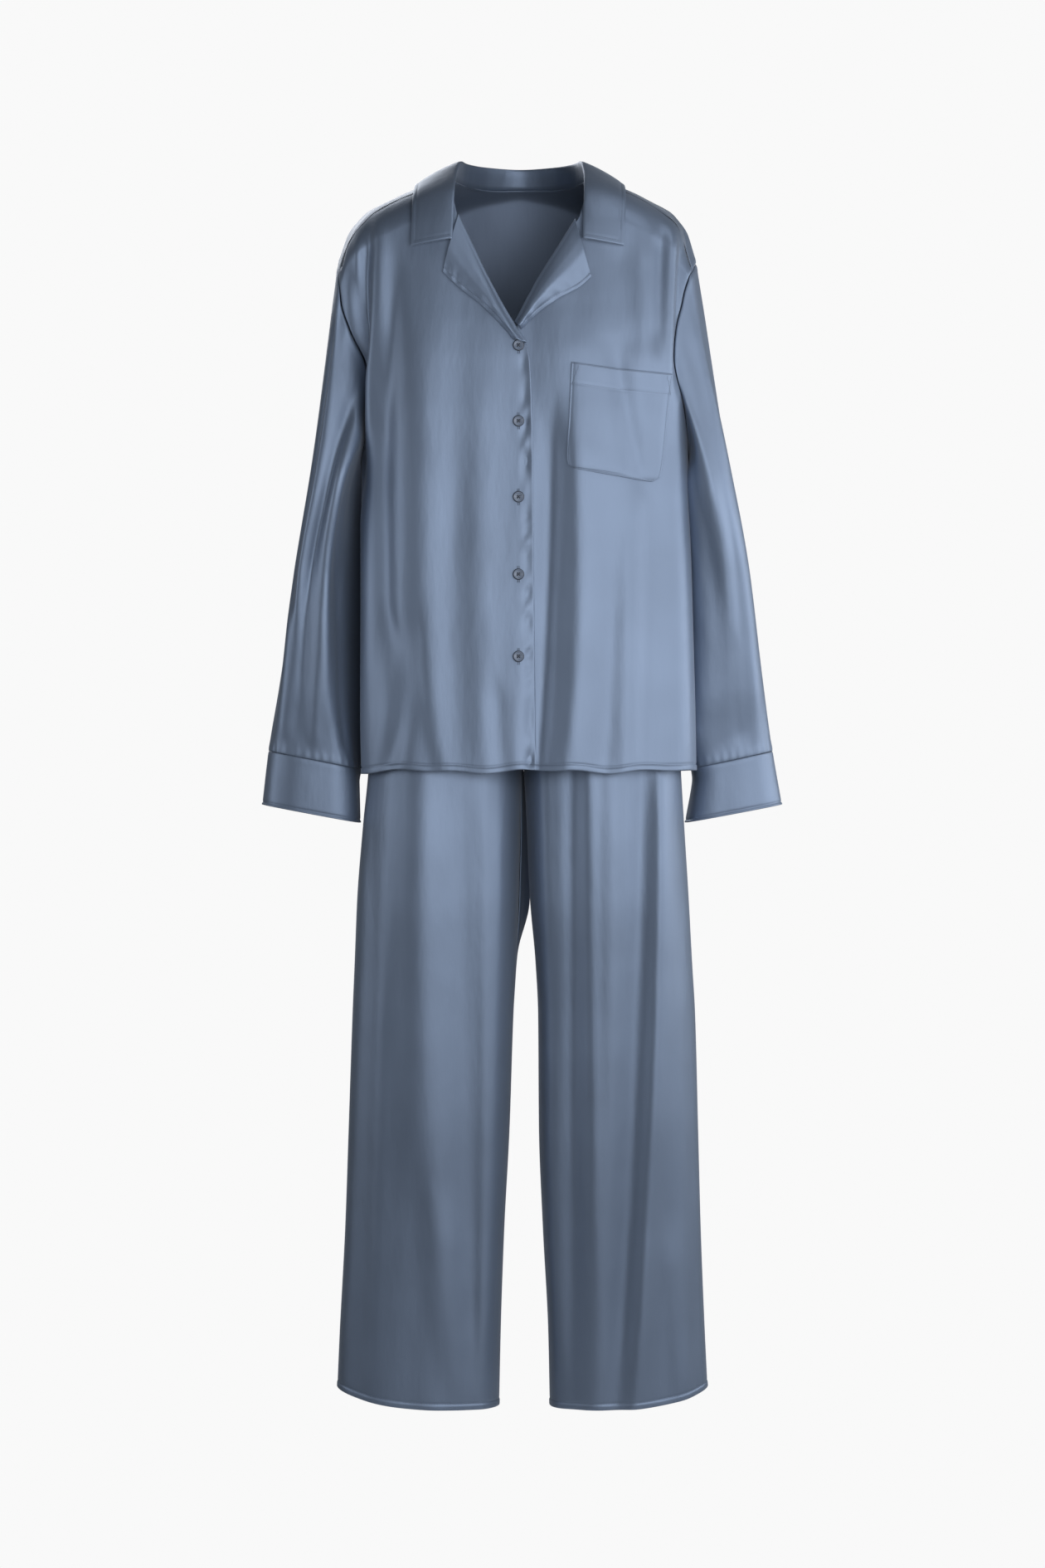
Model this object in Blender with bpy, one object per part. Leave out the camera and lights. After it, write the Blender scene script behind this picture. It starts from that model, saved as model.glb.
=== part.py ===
"""Satin pyjama set: a revere-collar shirt hanging, filled out, above wide trousers.

Millimetres, +Z up, +X to the wearer's left, the front facing -Y. The origin is the middle of the neck, level
with the shoulders.
"""

import bpy
import numpy as np
from mathutils import Matrix

MM = 0.001

# ---- driving sizes, mm ------------------------------------------------------------------------
WALL = 1.5  # one layer of cloth
BAND_WALL = 2.0  # collar and cuffs, which are two layers
SEAM_PULL = 0.22  # each piece stops this far short of the line of its seam
SHIRT_HEM = -663.0
ARMHOLE_TOP = -82.0
UNDERARM = -300.0
ARMHOLE_FRONT = 36.0  # how far the armhole reaches round the body to the front, degrees
ARMHOLE_BACK = 31.0
SEAM_TURN = 26.0  # where the shoulder seam meets the armhole, degrees round the armhole
ARCH = 48.0  # height over which front and back round over the shoulder
BACK_TAPER = 0.05
UNDERLAP_DROP = 4.8  # the under front lies this far beneath the upper one
UNDERLAP_BEND = (14.0, 38.0)
BUTTON_X = -4.5
BUTTON_ROWS = (-184.0, -269.0, -354.0, -441.0, -533.5)
WAIST_TOP = -345.0
WAIST_SEAM = -378.0
CROTCH = -645.0
HIP_END = -520.0  # the two legs begin to part from the hips here
HEM_INSIDE = -1387.0  # the trouser hem hangs lower at the inside leg
HEM_OUTSIDE = -1366.0

# How square a section is: 2 is an ellipse, and more has flatter faces and rounder corners
CHEST_SQUARENESS = 2.0  # at the foot of the shoulders
BODY_SQUARENESS = 3.0  # from the underarm down
SLEEVE_SQUARENESS = 2.3
HIP_SQUARENESS = 2.6
LEG_SQUARENESS = 2.4
SHOULDER_FOOT = -93.0  # the line of the shoulder ends here
SQUARE_FROM = -250.0

# Where the shoulder seam meets the neck: degrees round the body from centre front, height
SEAM_NECK_TURN = 86.0
SEAM_NECK_TOP = 12.0
SEAM_BEND = 0.8
NECK_BACK_TOP = 13.3  # neck seam at centre back

# Gaps at the armhole, so that the sleeve's wall lies edge to edge with the body's
ARMHOLE_GAP = 0.45
UNDERARM_GAP = 0.7

# Line of the shoulder seen from the front: half width, height. Inside 73 it is the line that the neck cuts.
SHOULDER = (
    (0, 30), (40, 23), (60, 17), (73, 12), (95, 9.5), (114, 5.5), (128, 0), (150, -11),
    (173, -23), (184, -34), (193, -46), (201, -68), (208, -93),
)  # fmt: skip

# Body of the shirt: height, half width, reach of the curve, front depth, back depth, centre x
BODY = (
    (-663, 191.0, 191.0, 94, 98, 7.5),
    (-560, 190.0, 190.0, 91, 95, 6.0),
    (-445, 188.5, 188.5, 89, 92, 4.5),
    (-300, 186.5, 186.5, 93, 98, 1.5),
    (-250, 190.0, 190.0, 95, 101, 0.0),
    (-200, 196.0, 197.0, 95, 104, -2.0),
    (-160, 203.0, 205.0, 93, 105, -3.5),
    (-130, 208.0, 211.0, 90, 105, -5.0),
    (-93, 208.0, 216.0, 86, 103, -6.0),
    (-20, 168.0, 216.0, 82, 98, -4.0),
    (30, 40.0, 216.0, 80, 92, -2.0),
)

# Edge of a front from neck to hem, x outward from the centre: x, height. First three rows: the neckline.
NECKLINE = ((73.0, 11.9), (75.5, 4.0), (74.0, -14.0), (68.5, -39.0))
ROLL_RIGHT = ((68.5, -39.0), (49.5, -77.0), (29.3, -120.0), (7.9, -163.0), (-3.5, -180.0))
ROLL_LEFT = ((65.0, -44.0), (45.8, -77.0), (20.5, -118.0), (-4.8, -165.0), (-12.0, -182.0))
# Roll of the under lapel, down to where the upper one covers it
ROLL_LEFT_SEEN = ((65.0, -44.0), (45.8, -77.0), (20.5, -118.0), (2.5, -150.0))
EDGE_RIGHT = ((-3.5, -180.0), (-8.0, -194.0), (-10.0, -222.0), (-8.6, -445.0), (-8.0, -663.0))
EDGE_LEFT = ((-12.0, -182.0), (-12.0, -200.0), (-12.0, -222.0), (-12.0, -445.0), (-12.0, -663.0))

# Lapel: distance from the roll (share of the lapel's width past it), lift off the front
LAPEL_LIFT = ((0.0, 5.6), (0.10, 6.8), (0.3, 6.2), (0.6, 4.6), (1.0, 2.7))
LAPEL_TURN = ((9.0, -4.0), (0.0, -4.0), (-3.4, -2.0), (-4.2, 1.2), (-2.6, 4.2))  # mm in from the roll, lift
LAPEL_OUTER_RIGHT = ((8.0, -178.0), (15.5, -168.0), (42.0, -139.0), (66.0, -119.0), (84.0, -101.0))
LAPEL_OUTER_LEFT = ((10.0, -159.0), (20.5, -149.0), (48.5, -130.0), (70.0, -118.0), (83.5, -106.0))

# Collar, from its front corner to the centre back. Neck seam and outer edge are places on the shirt
# (x outward, height, 1 at the back or 0 in front); the fold is a point in space.
# station: neck x, neck z, behind, fold x, fold y, fold z, edge x, edge z, behind, gap over the shirt
COLLAR = (
    (77.5, -64.0, 0, 75.0, -93.0, -64.0, 119.0, -72.0, 0, 3.8),
    (76.0, -40.0, 0, 73.5, -90.0, -37.0, 119.5, -47.0, 0, 3.8),
    (76.0, -16.0, 0, 73.5, -76.0, -8.0, 119.5, -22.0, 0, 3.2),
    (75.8, 2.0, 0, 72.5, -46.0, 16.0, 119.0, -5.0, 0, 2.0),
    (73.0, 12.0, 0, 68.5, -8.0, 35.0, 118.0, 4.2, 0, 0.8),
    (68.0, 12.8, 1, 64.0, 28.0, 38.5, 112.0, -4.0, 1, 0.7),
    (40.0, 13.2, 1, 40.0, 66.0, 38.5, 76.0, -21.0, 1, 0.7),
    (0.0, 13.3, 1, 0.0, 82.0, 38.0, 0.0, -24.0, 1, 0.7),
)

COLLAR_BOW = 2.8  # how far the turned-down leaf rounds out between its fold and its edge
COLLAR_EDGE_LIFT = 4.0  # outer edge of the leaf off the shirt
COLLAR_FOLD_OUT = 1.5  # the leaf starts this far outside the fold
COLLAR_CROWN = 3.5  # the stand turns into the fold over this height
COLLAR_LEAF = (0.09, 0.24, 0.42, 0.6, 0.8, 1.0)  # shares of the way from the fold to the outer edge
COLLAR_COLUMNS = 14  # from each front corner to the centre back

# Sleeve sections: share of the length, height outside, height inside, outer x right, outer x left,
# inner x right, inner x left, centre y right, centre y left, half depth, lean
SLEEVE = (
    (0.31, -300, -350, 237.5, 231.5, 191.0, 194.5, 5, 8, 62, 0.10),
    (0.56, -437, -457, 257.5, 255.5, 195.5, 197.5, 10, 22, 53, 0.24),
    (0.80, -555, -576, 276.0, 274.0, 193.5, 198.5, 14, 34, 46, 0.18),
    (1.00, -639, -659, 291.5, 288.5, 188.5, 197.5, 18, 42, 39, 0.05),
    (1.15, -701, -722, 299.0, 299.5, 187.0, 188.5, 20, 44, 41, 0.05),
)

# Legs: height, outer x right, inner x right, outer x left, inner x left, front depth, back depth
LEG = (
    (-1392, 213.0, 27.0, 213.0, 31.5, 60, 62),
    (-1300, 209.0, 25.0, 208.5, 29.5, 60, 63),
    (-1186, 203.0, 21.0, 204.0, 23.5, 62, 66),
    (-1072, 199.0, 15.0, 201.0, 19.0, 66, 70),
    (-940, 194.5, 10.5, 197.5, 18.0, 70, 75),
    (-880, 192.0, 7.0, 194.0, 15.0, 72, 78),
    (-806, 189.0, 4.5, 190.0, 8.5, 75, 78),
    (-725, 182.5, 2.5, 185.0, 5.0, 76, 77),
    (-645, 175.5, 1.0, 180.5, 1.5, 76, 76),
    (-340, 172.0, 1.0, 172.0, 1.0, 70, 72),
)

# Hips: height, half width, front depth, back depth, centre x
HIPS = (
    (-700, 180.0, 76, 83, 3.0),
    (-600, 176.0, 76, 83, 3.0),
    (-500, 166.0, 74, 80, 2.5),
    (-378, 146.0, 63, 68, 2.0),
    (-340, 144.0, 62, 66, 2.0),
)


# Folds, seen from the front: from x, height, to x, height, half width, lift of the cloth
FRONT_FOLDS = (
    (-183, -50, -176, -112, 10, -4.0),
    (-176, -112, -179, -200, 12, -5.0),
    (-119, -207, -109, -680, 30, 5.5),
    (-60, -300, -50, -690, 22, -3.0),
    (66, -320, 56, -690, 20, 6.5),
    (30, -420, 26, -690, 16, -3.0),
    (182, -60, 173, -205, 11, -5.5),
    (162, -50, 158, -170, 12, -3.0),
    (140, -360, 146, -690, 26, 4.0),
)
BACK_FOLDS = (
    (-120, -160, -98, -680, 30, 5.0),
    (-45, -300, -38, -690, 24, -4.5),
    (52, -230, 66, -690, 28, 5.0),
    (118, -190, 130, -640, 26, -4.0),
    (0, -420, 12, -690, 22, 3.5),
)
LEG_FRONT_FOLDS = (
    (-171, -560, -160, -920, 16, -4.5),
    (-160, -880, -172, -1330, 16, -5.0),
    (-102, -640, -95, -1390, 28, 4.5),
    (-45, -700, -52, -1240, 20, -3.0),
    (152, -600, 157, -960, 15, 5.0),
    (157, -900, 138, -1390, 16, 6.0),
    (126, -660, 130, -1340, 16, -4.0),
    (66, -640, 68, -1300, 15, -3.0),
    (44, -640, 46, -1390, 20, 3.0),
)
LEG_BACK_FOLDS = (
    (-120, -620, -128, -1390, 24, 5.0),
    (-70, -700, -66, -1330, 20, -4.5),
    (-155, -800, -160, -1390, 18, -4.0),
    (96, -600, 104, -1390, 24, 5.0),
    (150, -700, 146, -1390, 20, -4.5),
    (58, -760, 54, -1390, 18, 3.5),
)


# ---- helpers ----------------------------------------------------------------------------------
def smooth_through(xs, ys, at):
    """Cubic through the rows that never overshoots them."""
    xs, ys, at = (np.asarray(v, float) for v in (xs, ys, at))
    if xs[0] > xs[-1]:
        xs, ys = xs[::-1], ys[::-1]
    step = np.diff(xs)
    rise = np.diff(ys) / step
    slope = np.concatenate([rise[:1], np.zeros(len(xs) - 2), rise[-1:]])
    both = rise[:-1] * rise[1:]
    slope[1:-1] = np.where(both > 0, 2 * both / (rise[:-1] + rise[1:] + 1e-12), 0)
    at = np.clip(at, xs[0], xs[-1])
    i = np.clip(np.searchsorted(xs, at) - 1, 0, len(xs) - 2)
    t = (at - xs[i]) / step[i]
    a = (1 + 2 * t) * (1 - t) ** 2
    b = t * t * (3 - 2 * t)
    drive = t * (1 - t) ** 2 * slope[i] - t * t * (1 - t) * slope[i + 1]
    return a * ys[i] + b * ys[i + 1] + step[i] * drive


def column(table, number, at):
    rows = np.array(table, float)
    return smooth_through(rows[:, 0], rows[:, number], at)


def smoothstep(low, high, at):
    t = np.clip((at - low) / (high - low), 0, 1)
    return t * t * (3 - 2 * t)


def folds(table, x, z):
    """Lift of the cloth from the folds of a table, each a soft ridge or valley along a straight line."""
    lift = 0 * x
    for x0, z0, x1, z1, half, height in table:
        long = np.hypot(x1 - x0, z1 - z0)
        ux, uz = (x1 - x0) / long, (z1 - z0) / long
        at = (x - x0) * ux + (z - z0) * uz
        off = (x - x0) * uz - (z - z0) * ux
        ends = smoothstep(-0.12 * long, 0.2 * long, at) * smoothstep(1.12 * long, 0.8 * long, at)
        lift = lift + height * np.exp(-((off / half) ** 2)) * ends
    return lift


def unit(v):
    return v / np.maximum(np.linalg.norm(v, axis=-1, keepdims=True), 1e-9)


def round_k(s, c, n):
    return (np.abs(s) ** n + np.abs(c) ** n) ** (-1 / n)


def along(points, count):
    """The line through these points at count + 1 even steps."""
    points = np.array(points, float)
    run = np.concatenate([[0], np.cumsum(np.linalg.norm(np.diff(points, axis=0), axis=1))])
    at = np.linspace(0, run[-1], count + 1)
    return np.stack([smooth_through(run, points[:, k], at) for k in range(points.shape[1])], 1)


def fill(inner, outer, bottom, top):
    """Grid spanned by four edges: rows from bottom to top, columns from inner to outer."""
    v = np.linspace(0, 1, len(inner))[:, None, None]
    u = np.linspace(0, 1, len(bottom))[None, :, None]
    sides = (1 - u) * inner[:, None] + u * outer[:, None]
    ends = (1 - v) * bottom[None] + v * top[None]
    corners = (1 - v) * ((1 - u) * bottom[0] + u * bottom[-1]) + v * ((1 - u) * top[0] + u * top[-1])
    return sides + ends - corners


# ---- form of the shirt's body ------------------------------------------------------------------
SHOULDER_LINE = np.linspace(0, SHOULDER[-1][0], 417)
SHOULDER_HEIGHT = smooth_through(*np.array(SHOULDER, float).T, SHOULDER_LINE)


def half_width(z):
    top = np.interp(-z, -SHOULDER_HEIGHT, SHOULDER_LINE)
    return np.where(z >= SHOULDER_FOOT, top, column(BODY, 1, np.minimum(z, SHOULDER_FOOT)))


def squareness(z):
    down = np.clip((SHOULDER_FOOT - z) / (SHOULDER_FOOT - SQUARE_FROM), 0, 1)
    return CHEST_SQUARENESS + (BODY_SQUARENESS - CHEST_SQUARENESS) * down


def body_point(side, phi, z):
    """Outer face of the shirt without folds. phi runs from 0, centre front, to 180, centre back."""
    s, c = np.sin(np.radians(phi)), np.cos(np.radians(phi))
    n = squareness(z)
    x = half_width(z) * s * round_k(s, c, n)
    bow = np.maximum(1 - np.abs(x / column(BODY, 2, z)) ** 3, 0) ** (1 / 3)
    rise = np.clip((np.interp(np.abs(x), SHOULDER_LINE, SHOULDER_HEIGHT) - z) / ARCH, 0, 1)
    bow = np.where(z < SQUARE_FROM, np.abs(c) * round_k(s, c, n), bow)
    y = bow * np.sqrt(1 - (1 - rise) ** 2)
    y = np.where(c >= 0, -y * column(BODY, 3, z), y * column(BODY, 4, z))
    x = x * (1 - BACK_TAPER * np.maximum(y, 0) / 100)
    return np.stack([column(BODY, 5, z) + side * x, y, z + 0 * x], -1)


def body_normal(side, phi, z):
    d_phi = body_point(side, phi + 0.3, z) - body_point(side, phi - 0.3, z)
    d_z = body_point(side, phi, z + 0.4) - body_point(side, phi, z - 0.4)
    return unit(np.cross(d_phi, d_z)) * side


def shirt(side, chart, out=0.0):
    """Point of the shirt at chart = (phi, height), moved out by so many mm."""
    phi, z = chart[..., 0], chart[..., 1]
    point = body_point(side, phi, z)
    lift = np.where(phi < 90, folds(FRONT_FOLDS, point[..., 0], z), folds(BACK_FOLDS, point[..., 0], z))
    lift = lift * smoothstep(0.0, 0.35, np.abs(np.cos(np.radians(phi))))
    return point + body_normal(side, phi, z) * (np.asarray(out) + lift)[..., None]


def place(x, z, behind=0):
    """Chart place of a point seen from the front, x outward from the shirt's centre."""
    x, z = np.asarray(x, float), np.asarray(z, float)
    n = squareness(z)
    r = np.clip(np.abs(x) / half_width(z), 0, 0.9999) ** n
    phi = np.degrees(np.arctan((r / (1 - r)) ** (1 / n))) * np.sign(x)
    return np.stack([np.where(behind, 180 - phi, phi), z], -1)


def seen(rows):
    rows = np.array(rows, float)
    return place(rows[:, 0], rows[:, 1])


def pull_in(side, chart, sides=("inner", "outer", "bottom", "top")):
    """Moves the borders of a grid in along the surface by SEAM_PULL, which leaves the gap of a seam."""
    for name in sides:
        grid = {"inner": chart.swapaxes(0, 1), "outer": chart.swapaxes(0, 1)[::-1], "bottom": chart}.get(
            name, chart[::-1]
        )
        gap = np.linalg.norm(shirt(side, grid[1]) - shirt(side, grid[0]), axis=-1)
        grid[0] += (grid[1] - grid[0]) * (SEAM_PULL / gap)[:, None]
    return chart


# ---- solids ------------------------------------------------------------------------------------
def solid(name, outer, inner, material, ring=False):
    """Closed wall between two grids of points, face side outer. ring joins the last column to the first."""
    rows, cols = outer.shape[:2]
    points = np.concatenate([outer.reshape(-1, 3), inner.reshape(-1, 3)]) * MM
    back = rows * cols
    wraps = cols if ring else cols - 1
    faces = []
    for r in range(rows - 1):
        for c in range(wraps):
            a, b = r * cols + c, r * cols + (c + 1) % cols
            faces.append((a, b, b + cols, a + cols))
            faces.append((back + a, back + a + cols, back + b + cols, back + b))
    for c in range(wraps):
        b = (c + 1) % cols
        faces.append((b, c, back + c, back + b))
        top = (rows - 1) * cols
        faces.append((top + c, top + b, back + top + b, back + top + c))
    for r in range(0 if ring else rows - 1):
        a, b = r * cols, (r + 1) * cols
        faces.append((a, b, back + b, back + a))
        a, b = a + cols - 1, b + cols - 1
        faces.append((b, a, back + a, back + b))
    mesh = bpy.data.meshes.new(name)
    mesh.from_pydata([tuple(p) for p in points], [], faces)
    volume = sum(
        np.dot(points[f[0]], np.cross(points[f[i]], points[f[i + 1]])) for f in faces for i in (1, 2)
    )
    if volume < 0:
        mesh.flip_normals()
    mesh.shade_smooth()
    mesh.materials.append(material)
    piece = bpy.data.objects.new(name, mesh)
    bpy.context.scene.collection.objects.link(piece)
    return piece


def material(name, colour, roughness):
    made = bpy.data.materials.new(name)
    made.use_nodes = True
    shader = made.node_tree.nodes["Principled BSDF"]
    shader.inputs["Base Color"].default_value = (*colour, 1)
    shader.inputs["Roughness"].default_value = roughness
    shader.inputs["Metallic"].default_value = 0.0
    return made


# ---- the shirt's pieces ------------------------------------------------------------------------
FRONT_COLUMNS = 11
SIDE_ROWS = 9
ARM_ROWS = 12
EDGE_ROWS = 4  # of the rows beside the armhole, those up to the top button
ROLL_ROWS = 5  # and those along the roll line
NECK_COLUMNS = 4


def armhole(psi, inset=0.0):
    """Chart place on the armhole: 0 at the shoulder, 90 front, 180 underarm, 270 back. inset is in mm."""
    turn = np.radians(psi)
    reach = np.where(np.sin(turn) > 0, ARMHOLE_FRONT, ARMHOLE_BACK)
    middle, half = (ARMHOLE_TOP + UNDERARM) / 2, (ARMHOLE_TOP - UNDERARM) / 2
    reach = reach - inset * 0.3
    return np.stack([90 - reach * np.sin(turn), middle + (half - inset) * np.cos(turn)], -1)


def shoulder_seam(count):
    """From the neck to the armhole, along the shoulder and then a little in front of it."""
    ends = armhole(np.array(SEAM_TURN))
    t = np.linspace(0, 1, count + 1)
    z = SEAM_NECK_TOP + (ends[1] - SEAM_NECK_TOP) * t
    phi = SEAM_NECK_TURN + (ends[0] - SEAM_NECK_TURN) * np.sin(np.radians(90 * t)) ** SEAM_BEND
    return np.stack([phi, z], -1)


def front_grid(roll, edge):
    low = np.linspace(SHIRT_HEM, UNDERARM, SIDE_ROWS + 1)
    sides = np.stack([np.full_like(low, 90), low], -1)
    arm = armhole(np.linspace(180, SEAM_TURN, ARM_ROWS + 1))
    outer = np.concatenate([sides, arm[1:]])
    seam = shoulder_seam(FRONT_COLUMNS)
    edge_x = smooth_through([r[1] for r in edge], [r[0] for r in edge], low)
    lower = place(edge_x, low)
    upper = [(np.interp(UNDERARM, [r[1] for r in edge[::-1]], [r[0] for r in edge[::-1]]), UNDERARM)]
    upper = along(upper + [r for r in edge[::-1] if r[1] > UNDERARM], EDGE_ROWS)
    rolled = along(roll[::-1], ROLL_ROWS)
    neck = seen(along(NECKLINE[::-1], ARM_ROWS - EDGE_ROWS - ROLL_ROWS))
    neck[-1] = seam[0]
    inner = np.concatenate([lower, seen(upper)[1:], seen(rolled)[1:], neck[1:]])
    across = np.linspace(inner[0, 0], 90, FRONT_COLUMNS + 1)
    bottom = np.stack([across, np.full_like(across, SHIRT_HEM)], -1)
    return fill(inner, outer, bottom, seam)


def underlap(chart):
    """How far the under front dips beneath the upper one."""
    x = body_point(1, chart[..., 0], chart[..., 1])[..., 0]
    return -UNDERLAP_DROP * (1 - smoothstep(*UNDERLAP_BEND, x)) * smoothstep(-110, -150, chart[..., 1])


def build_front(name, side, roll, edge, under, satin):
    chart = pull_in(side, front_grid(roll, edge), ("outer", "top"))
    drop = underlap(chart) if under else 0 * chart[..., 0]
    return solid(name, shirt(side, chart, drop), shirt(side, chart, drop - WALL), satin)


def back_half(side):
    low = np.linspace(SHIRT_HEM, UNDERARM, SIDE_ROWS + 1)
    sides = np.stack([np.full_like(low, 90), low], -1)
    arm = armhole(np.linspace(180, 360 + SEAM_TURN, ARM_ROWS + 1))
    outer = np.concatenate([sides, arm[1:]])
    seam = shoulder_seam(FRONT_COLUMNS)
    phi = np.linspace(180, seam[0, 0], NECK_COLUMNS + 1)
    rise = (NECK_BACK_TOP - SEAM_NECK_TOP) * np.sin(np.radians(phi - 90)).clip(0)
    neck = np.stack([phi, SEAM_NECK_TOP + rise], -1)
    top = np.concatenate([neck, seam[1:]])
    low = np.linspace(SHIRT_HEM, NECK_BACK_TOP, len(outer))
    inner = np.stack([np.full_like(low, 180), low], -1)
    bottom = np.stack([np.linspace(180, 90, len(top)), np.full(len(top), SHIRT_HEM)], -1)
    return pull_in(side, fill(inner, outer, bottom, top), ("outer", "top"))


def build_back(satin):
    halves = {side: back_half(side) for side in (1, -1)}
    layers = []
    for out in (0.0, -WALL):
        right, left = (shirt(side, halves[side], out) for side in (-1, 1))
        layers.append(np.concatenate([right[:, ::-1], left[:, 1:]], 1))
    return solid("shirt_back", *layers, satin)


# ---- sleeves and cuffs --------------------------------------------------------------------------
def sleeve_rings(side, psi):
    """The armhole and the sections below it, at these angles round the sleeve."""
    turn = np.radians(psi)
    start = shirt(side, armhole(psi, ARMHOLE_GAP))
    start[:, 0] += side * UNDERARM_GAP * (1 - np.cos(turn)) / 2
    rings, share = [start], [0.0]
    c, s = np.cos(turn), np.sin(turn)
    k = round_k(s, c, SLEEVE_SQUARENESS)
    pick = 0 if side < 0 else 1
    for row in SLEEVE:
        outer_x, inner_x, mid_y = row[3 + pick], row[5 + pick], row[7 + pick]
        y = -row[9] * s * k
        x = (outer_x + inner_x) / 2 + (outer_x - inner_x) / 2 * c * k - row[10] * y
        z = (row[1] + row[2]) / 2 + (row[1] - row[2]) / 2 * c * k
        rings.append(np.stack([side * x, mid_y + y, z], -1))
        share.append(row[0])
    return np.array(share), np.array(rings)


def sleeve_point(side, psi, at):
    share, rings = sleeve_rings(side, psi)
    lines = [[smooth_through(share, rings[:, i, k], at) for k in range(3)] for i in range(len(psi))]
    return np.stack(lines, 1).T


def sleeve_layers(side, psi, at, wall):
    """Outer and inner face. Near the armhole the wall turns to lie edge to edge with the body's."""
    points = sleeve_point(side, psi, at)
    d_at = sleeve_point(side, psi, at + 0.004) - sleeve_point(side, psi, at - 0.004)
    d_psi = sleeve_point(side, psi + 1.0, at) - sleeve_point(side, psi - 1.0, at)
    normal = unit(np.cross(d_psi, d_at)) * side
    seam = body_normal(side, *armhole(psi).T)[None]
    alike = smoothstep(0.1, 0.8, (normal * seam).sum(-1))
    near = 1 - smoothstep(0.0, 0.06, at)[:, None]
    normal = unit(normal + (seam - normal) * (alike * near)[..., None])
    return points, points - normal * wall


def sleeve_psi():
    front = np.linspace(180, SEAM_TURN, ARM_ROWS + 1)
    back = np.linspace(180, 360 + SEAM_TURN, ARM_ROWS + 1)
    return np.concatenate([back[:-1], front[:0:-1] + 360])


# Shares of the length, closer together at the seams, with the last on each side of the cuff's seam
SLEEVE_ROWS = np.array(
    [0.0008, 0.03, 0.08, 0.14, 0.2, 0.27, 0.34, 0.42, 0.5, 0.58, 0.66, 0.74, 0.82, 0.91, 0.9993]
)
CUFF_ROWS = np.array([1.0007, 1.05, 1.1, 1.148])


# ---- collar, lapels, pocket ---------------------------------------------------------------------
def collar_half(side):
    table = np.array(COLLAR, float)
    run = np.linspace(0, 1, len(table))
    at = np.linspace(0, 1, COLLAR_COLUMNS + 1)
    neck = shirt(side, place(table[:, 0], table[:, 1], table[:, 2]), table[:, 9])
    edge_place = place(table[:, 6], table[:, 7], table[:, 8])
    edge = shirt(side, edge_place, COLLAR_EDGE_LIFT)
    edge_normal = body_normal(side, *edge_place.T)
    fold = table[:, 3:6] * (side, 1, 1)
    fold[:, 0] += column(BODY, 5, fold[:, 2])
    neck, edge, fold, edge_normal = (
        np.stack([smooth_through(run, v[:, k], at) for k in range(3)], 1)
        for v in (neck, edge, fold, edge_normal)
    )
    outward = unit((edge - fold) * (1, 1, 0))
    rise = unit(fold - neck)
    tall = np.linalg.norm(fold - neck, axis=1, keepdims=True)
    crown = fold - rise * np.minimum(COLLAR_CROWN, 0.4 * tall) - outward * 0.6
    rows = [neck, neck + (crown - neck) * 0.5, crown, fold - rise * 0.6 + outward * 0.8]
    bulge = edge_normal * COLLAR_BOW
    for t in COLLAR_LEAF:
        rows.append(fold + outward * COLLAR_FOLD_OUT + (edge - fold) * t + bulge * (4 * t * (1 - t)) ** 0.9)
    return np.array(rows)


def grid_normals(grid):
    """Normals of a grid from its own neighbours, one sided at the borders."""
    return unit(np.cross(np.gradient(grid, axis=1), np.gradient(grid, axis=0)))


def build_collar(satin):
    right, left = collar_half(-1), collar_half(1)
    grid = np.concatenate([right, left[:, -2::-1]], 1)
    normal = grid_normals(grid)
    return solid("collar", grid, grid - normal * BAND_WALL, satin)


LAPEL_STEPS = 8


def lapel_grid(side, roll, outer):
    line = along(roll[::-1], LAPEL_STEPS)
    rim = along(outer, LAPEL_STEPS)
    rows = []
    for k in range(LAPEL_STEPS + 1):
        across = rim[k] - line[k]
        wide = np.linalg.norm(across)
        inward = [line[k] + across / wide * d for d, _ in LAPEL_TURN]
        outward = [line[k] + across * t for t, _ in LAPEL_LIFT]
        rows.append(inward + outward)
    lift = [v for _, v in LAPEL_TURN] + [v for _, v in LAPEL_LIFT]
    flat = np.array(rows)
    chart = place(flat[..., 0], flat[..., 1])
    drop = underlap(chart) if side > 0 else 0
    return shirt(side, chart, np.broadcast_to(lift, flat.shape[:2]) + drop)


def build_lapel(name, side, roll, outer, satin):
    grid = lapel_grid(side, roll, outer)
    normal = grid_normals(grid)
    return solid(name, grid, grid - normal * side * WALL, satin)


POCKET_COLUMNS = 8
POCKET_ROWS = (0, 0.05, 0.14, 0.3, 0.45, 0.6, 0.73, 0.86, 1.0)  # shares of the height, closer at the foot
# Pocket: share of the height from the bottom, height at the centre side and at the arm side, x of each side
POCKET = (
    (0.00, -322, -336, 57.0, 147.0),
    (0.05, -318, -331, 51.0, 155.0),
    (0.14, -308, -317, 49.5, 158.0),
    (0.50, -262, -271, 52.0, 162.0),
    (1.00, -203, -214, 55.0, 167.0),
)
POCKET_SAG = 7.0
POCKET_LIFT = 0.9


def build_pocket(side, satin):
    up, across = np.meshgrid(np.array(POCKET_ROWS), np.linspace(0, 1, POCKET_COLUMNS + 1), indexing="ij")
    inside, outside, low_x, high_x = (column(POCKET, k, up) for k in (1, 2, 3, 4))
    z = inside + (outside - inside) * across
    z = z - POCKET_SAG * np.sin(np.pi * across) * (smoothstep(0.6, 1.0, up) + 0.5 * smoothstep(0.3, 0.0, up))
    x = low_x + (high_x - low_x) * across
    chart = place(x - column(BODY, 5, z), z)
    return solid("pocket", shirt(side, chart, POCKET_LIFT + WALL), shirt(side, chart, POCKET_LIFT), satin)


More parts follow.
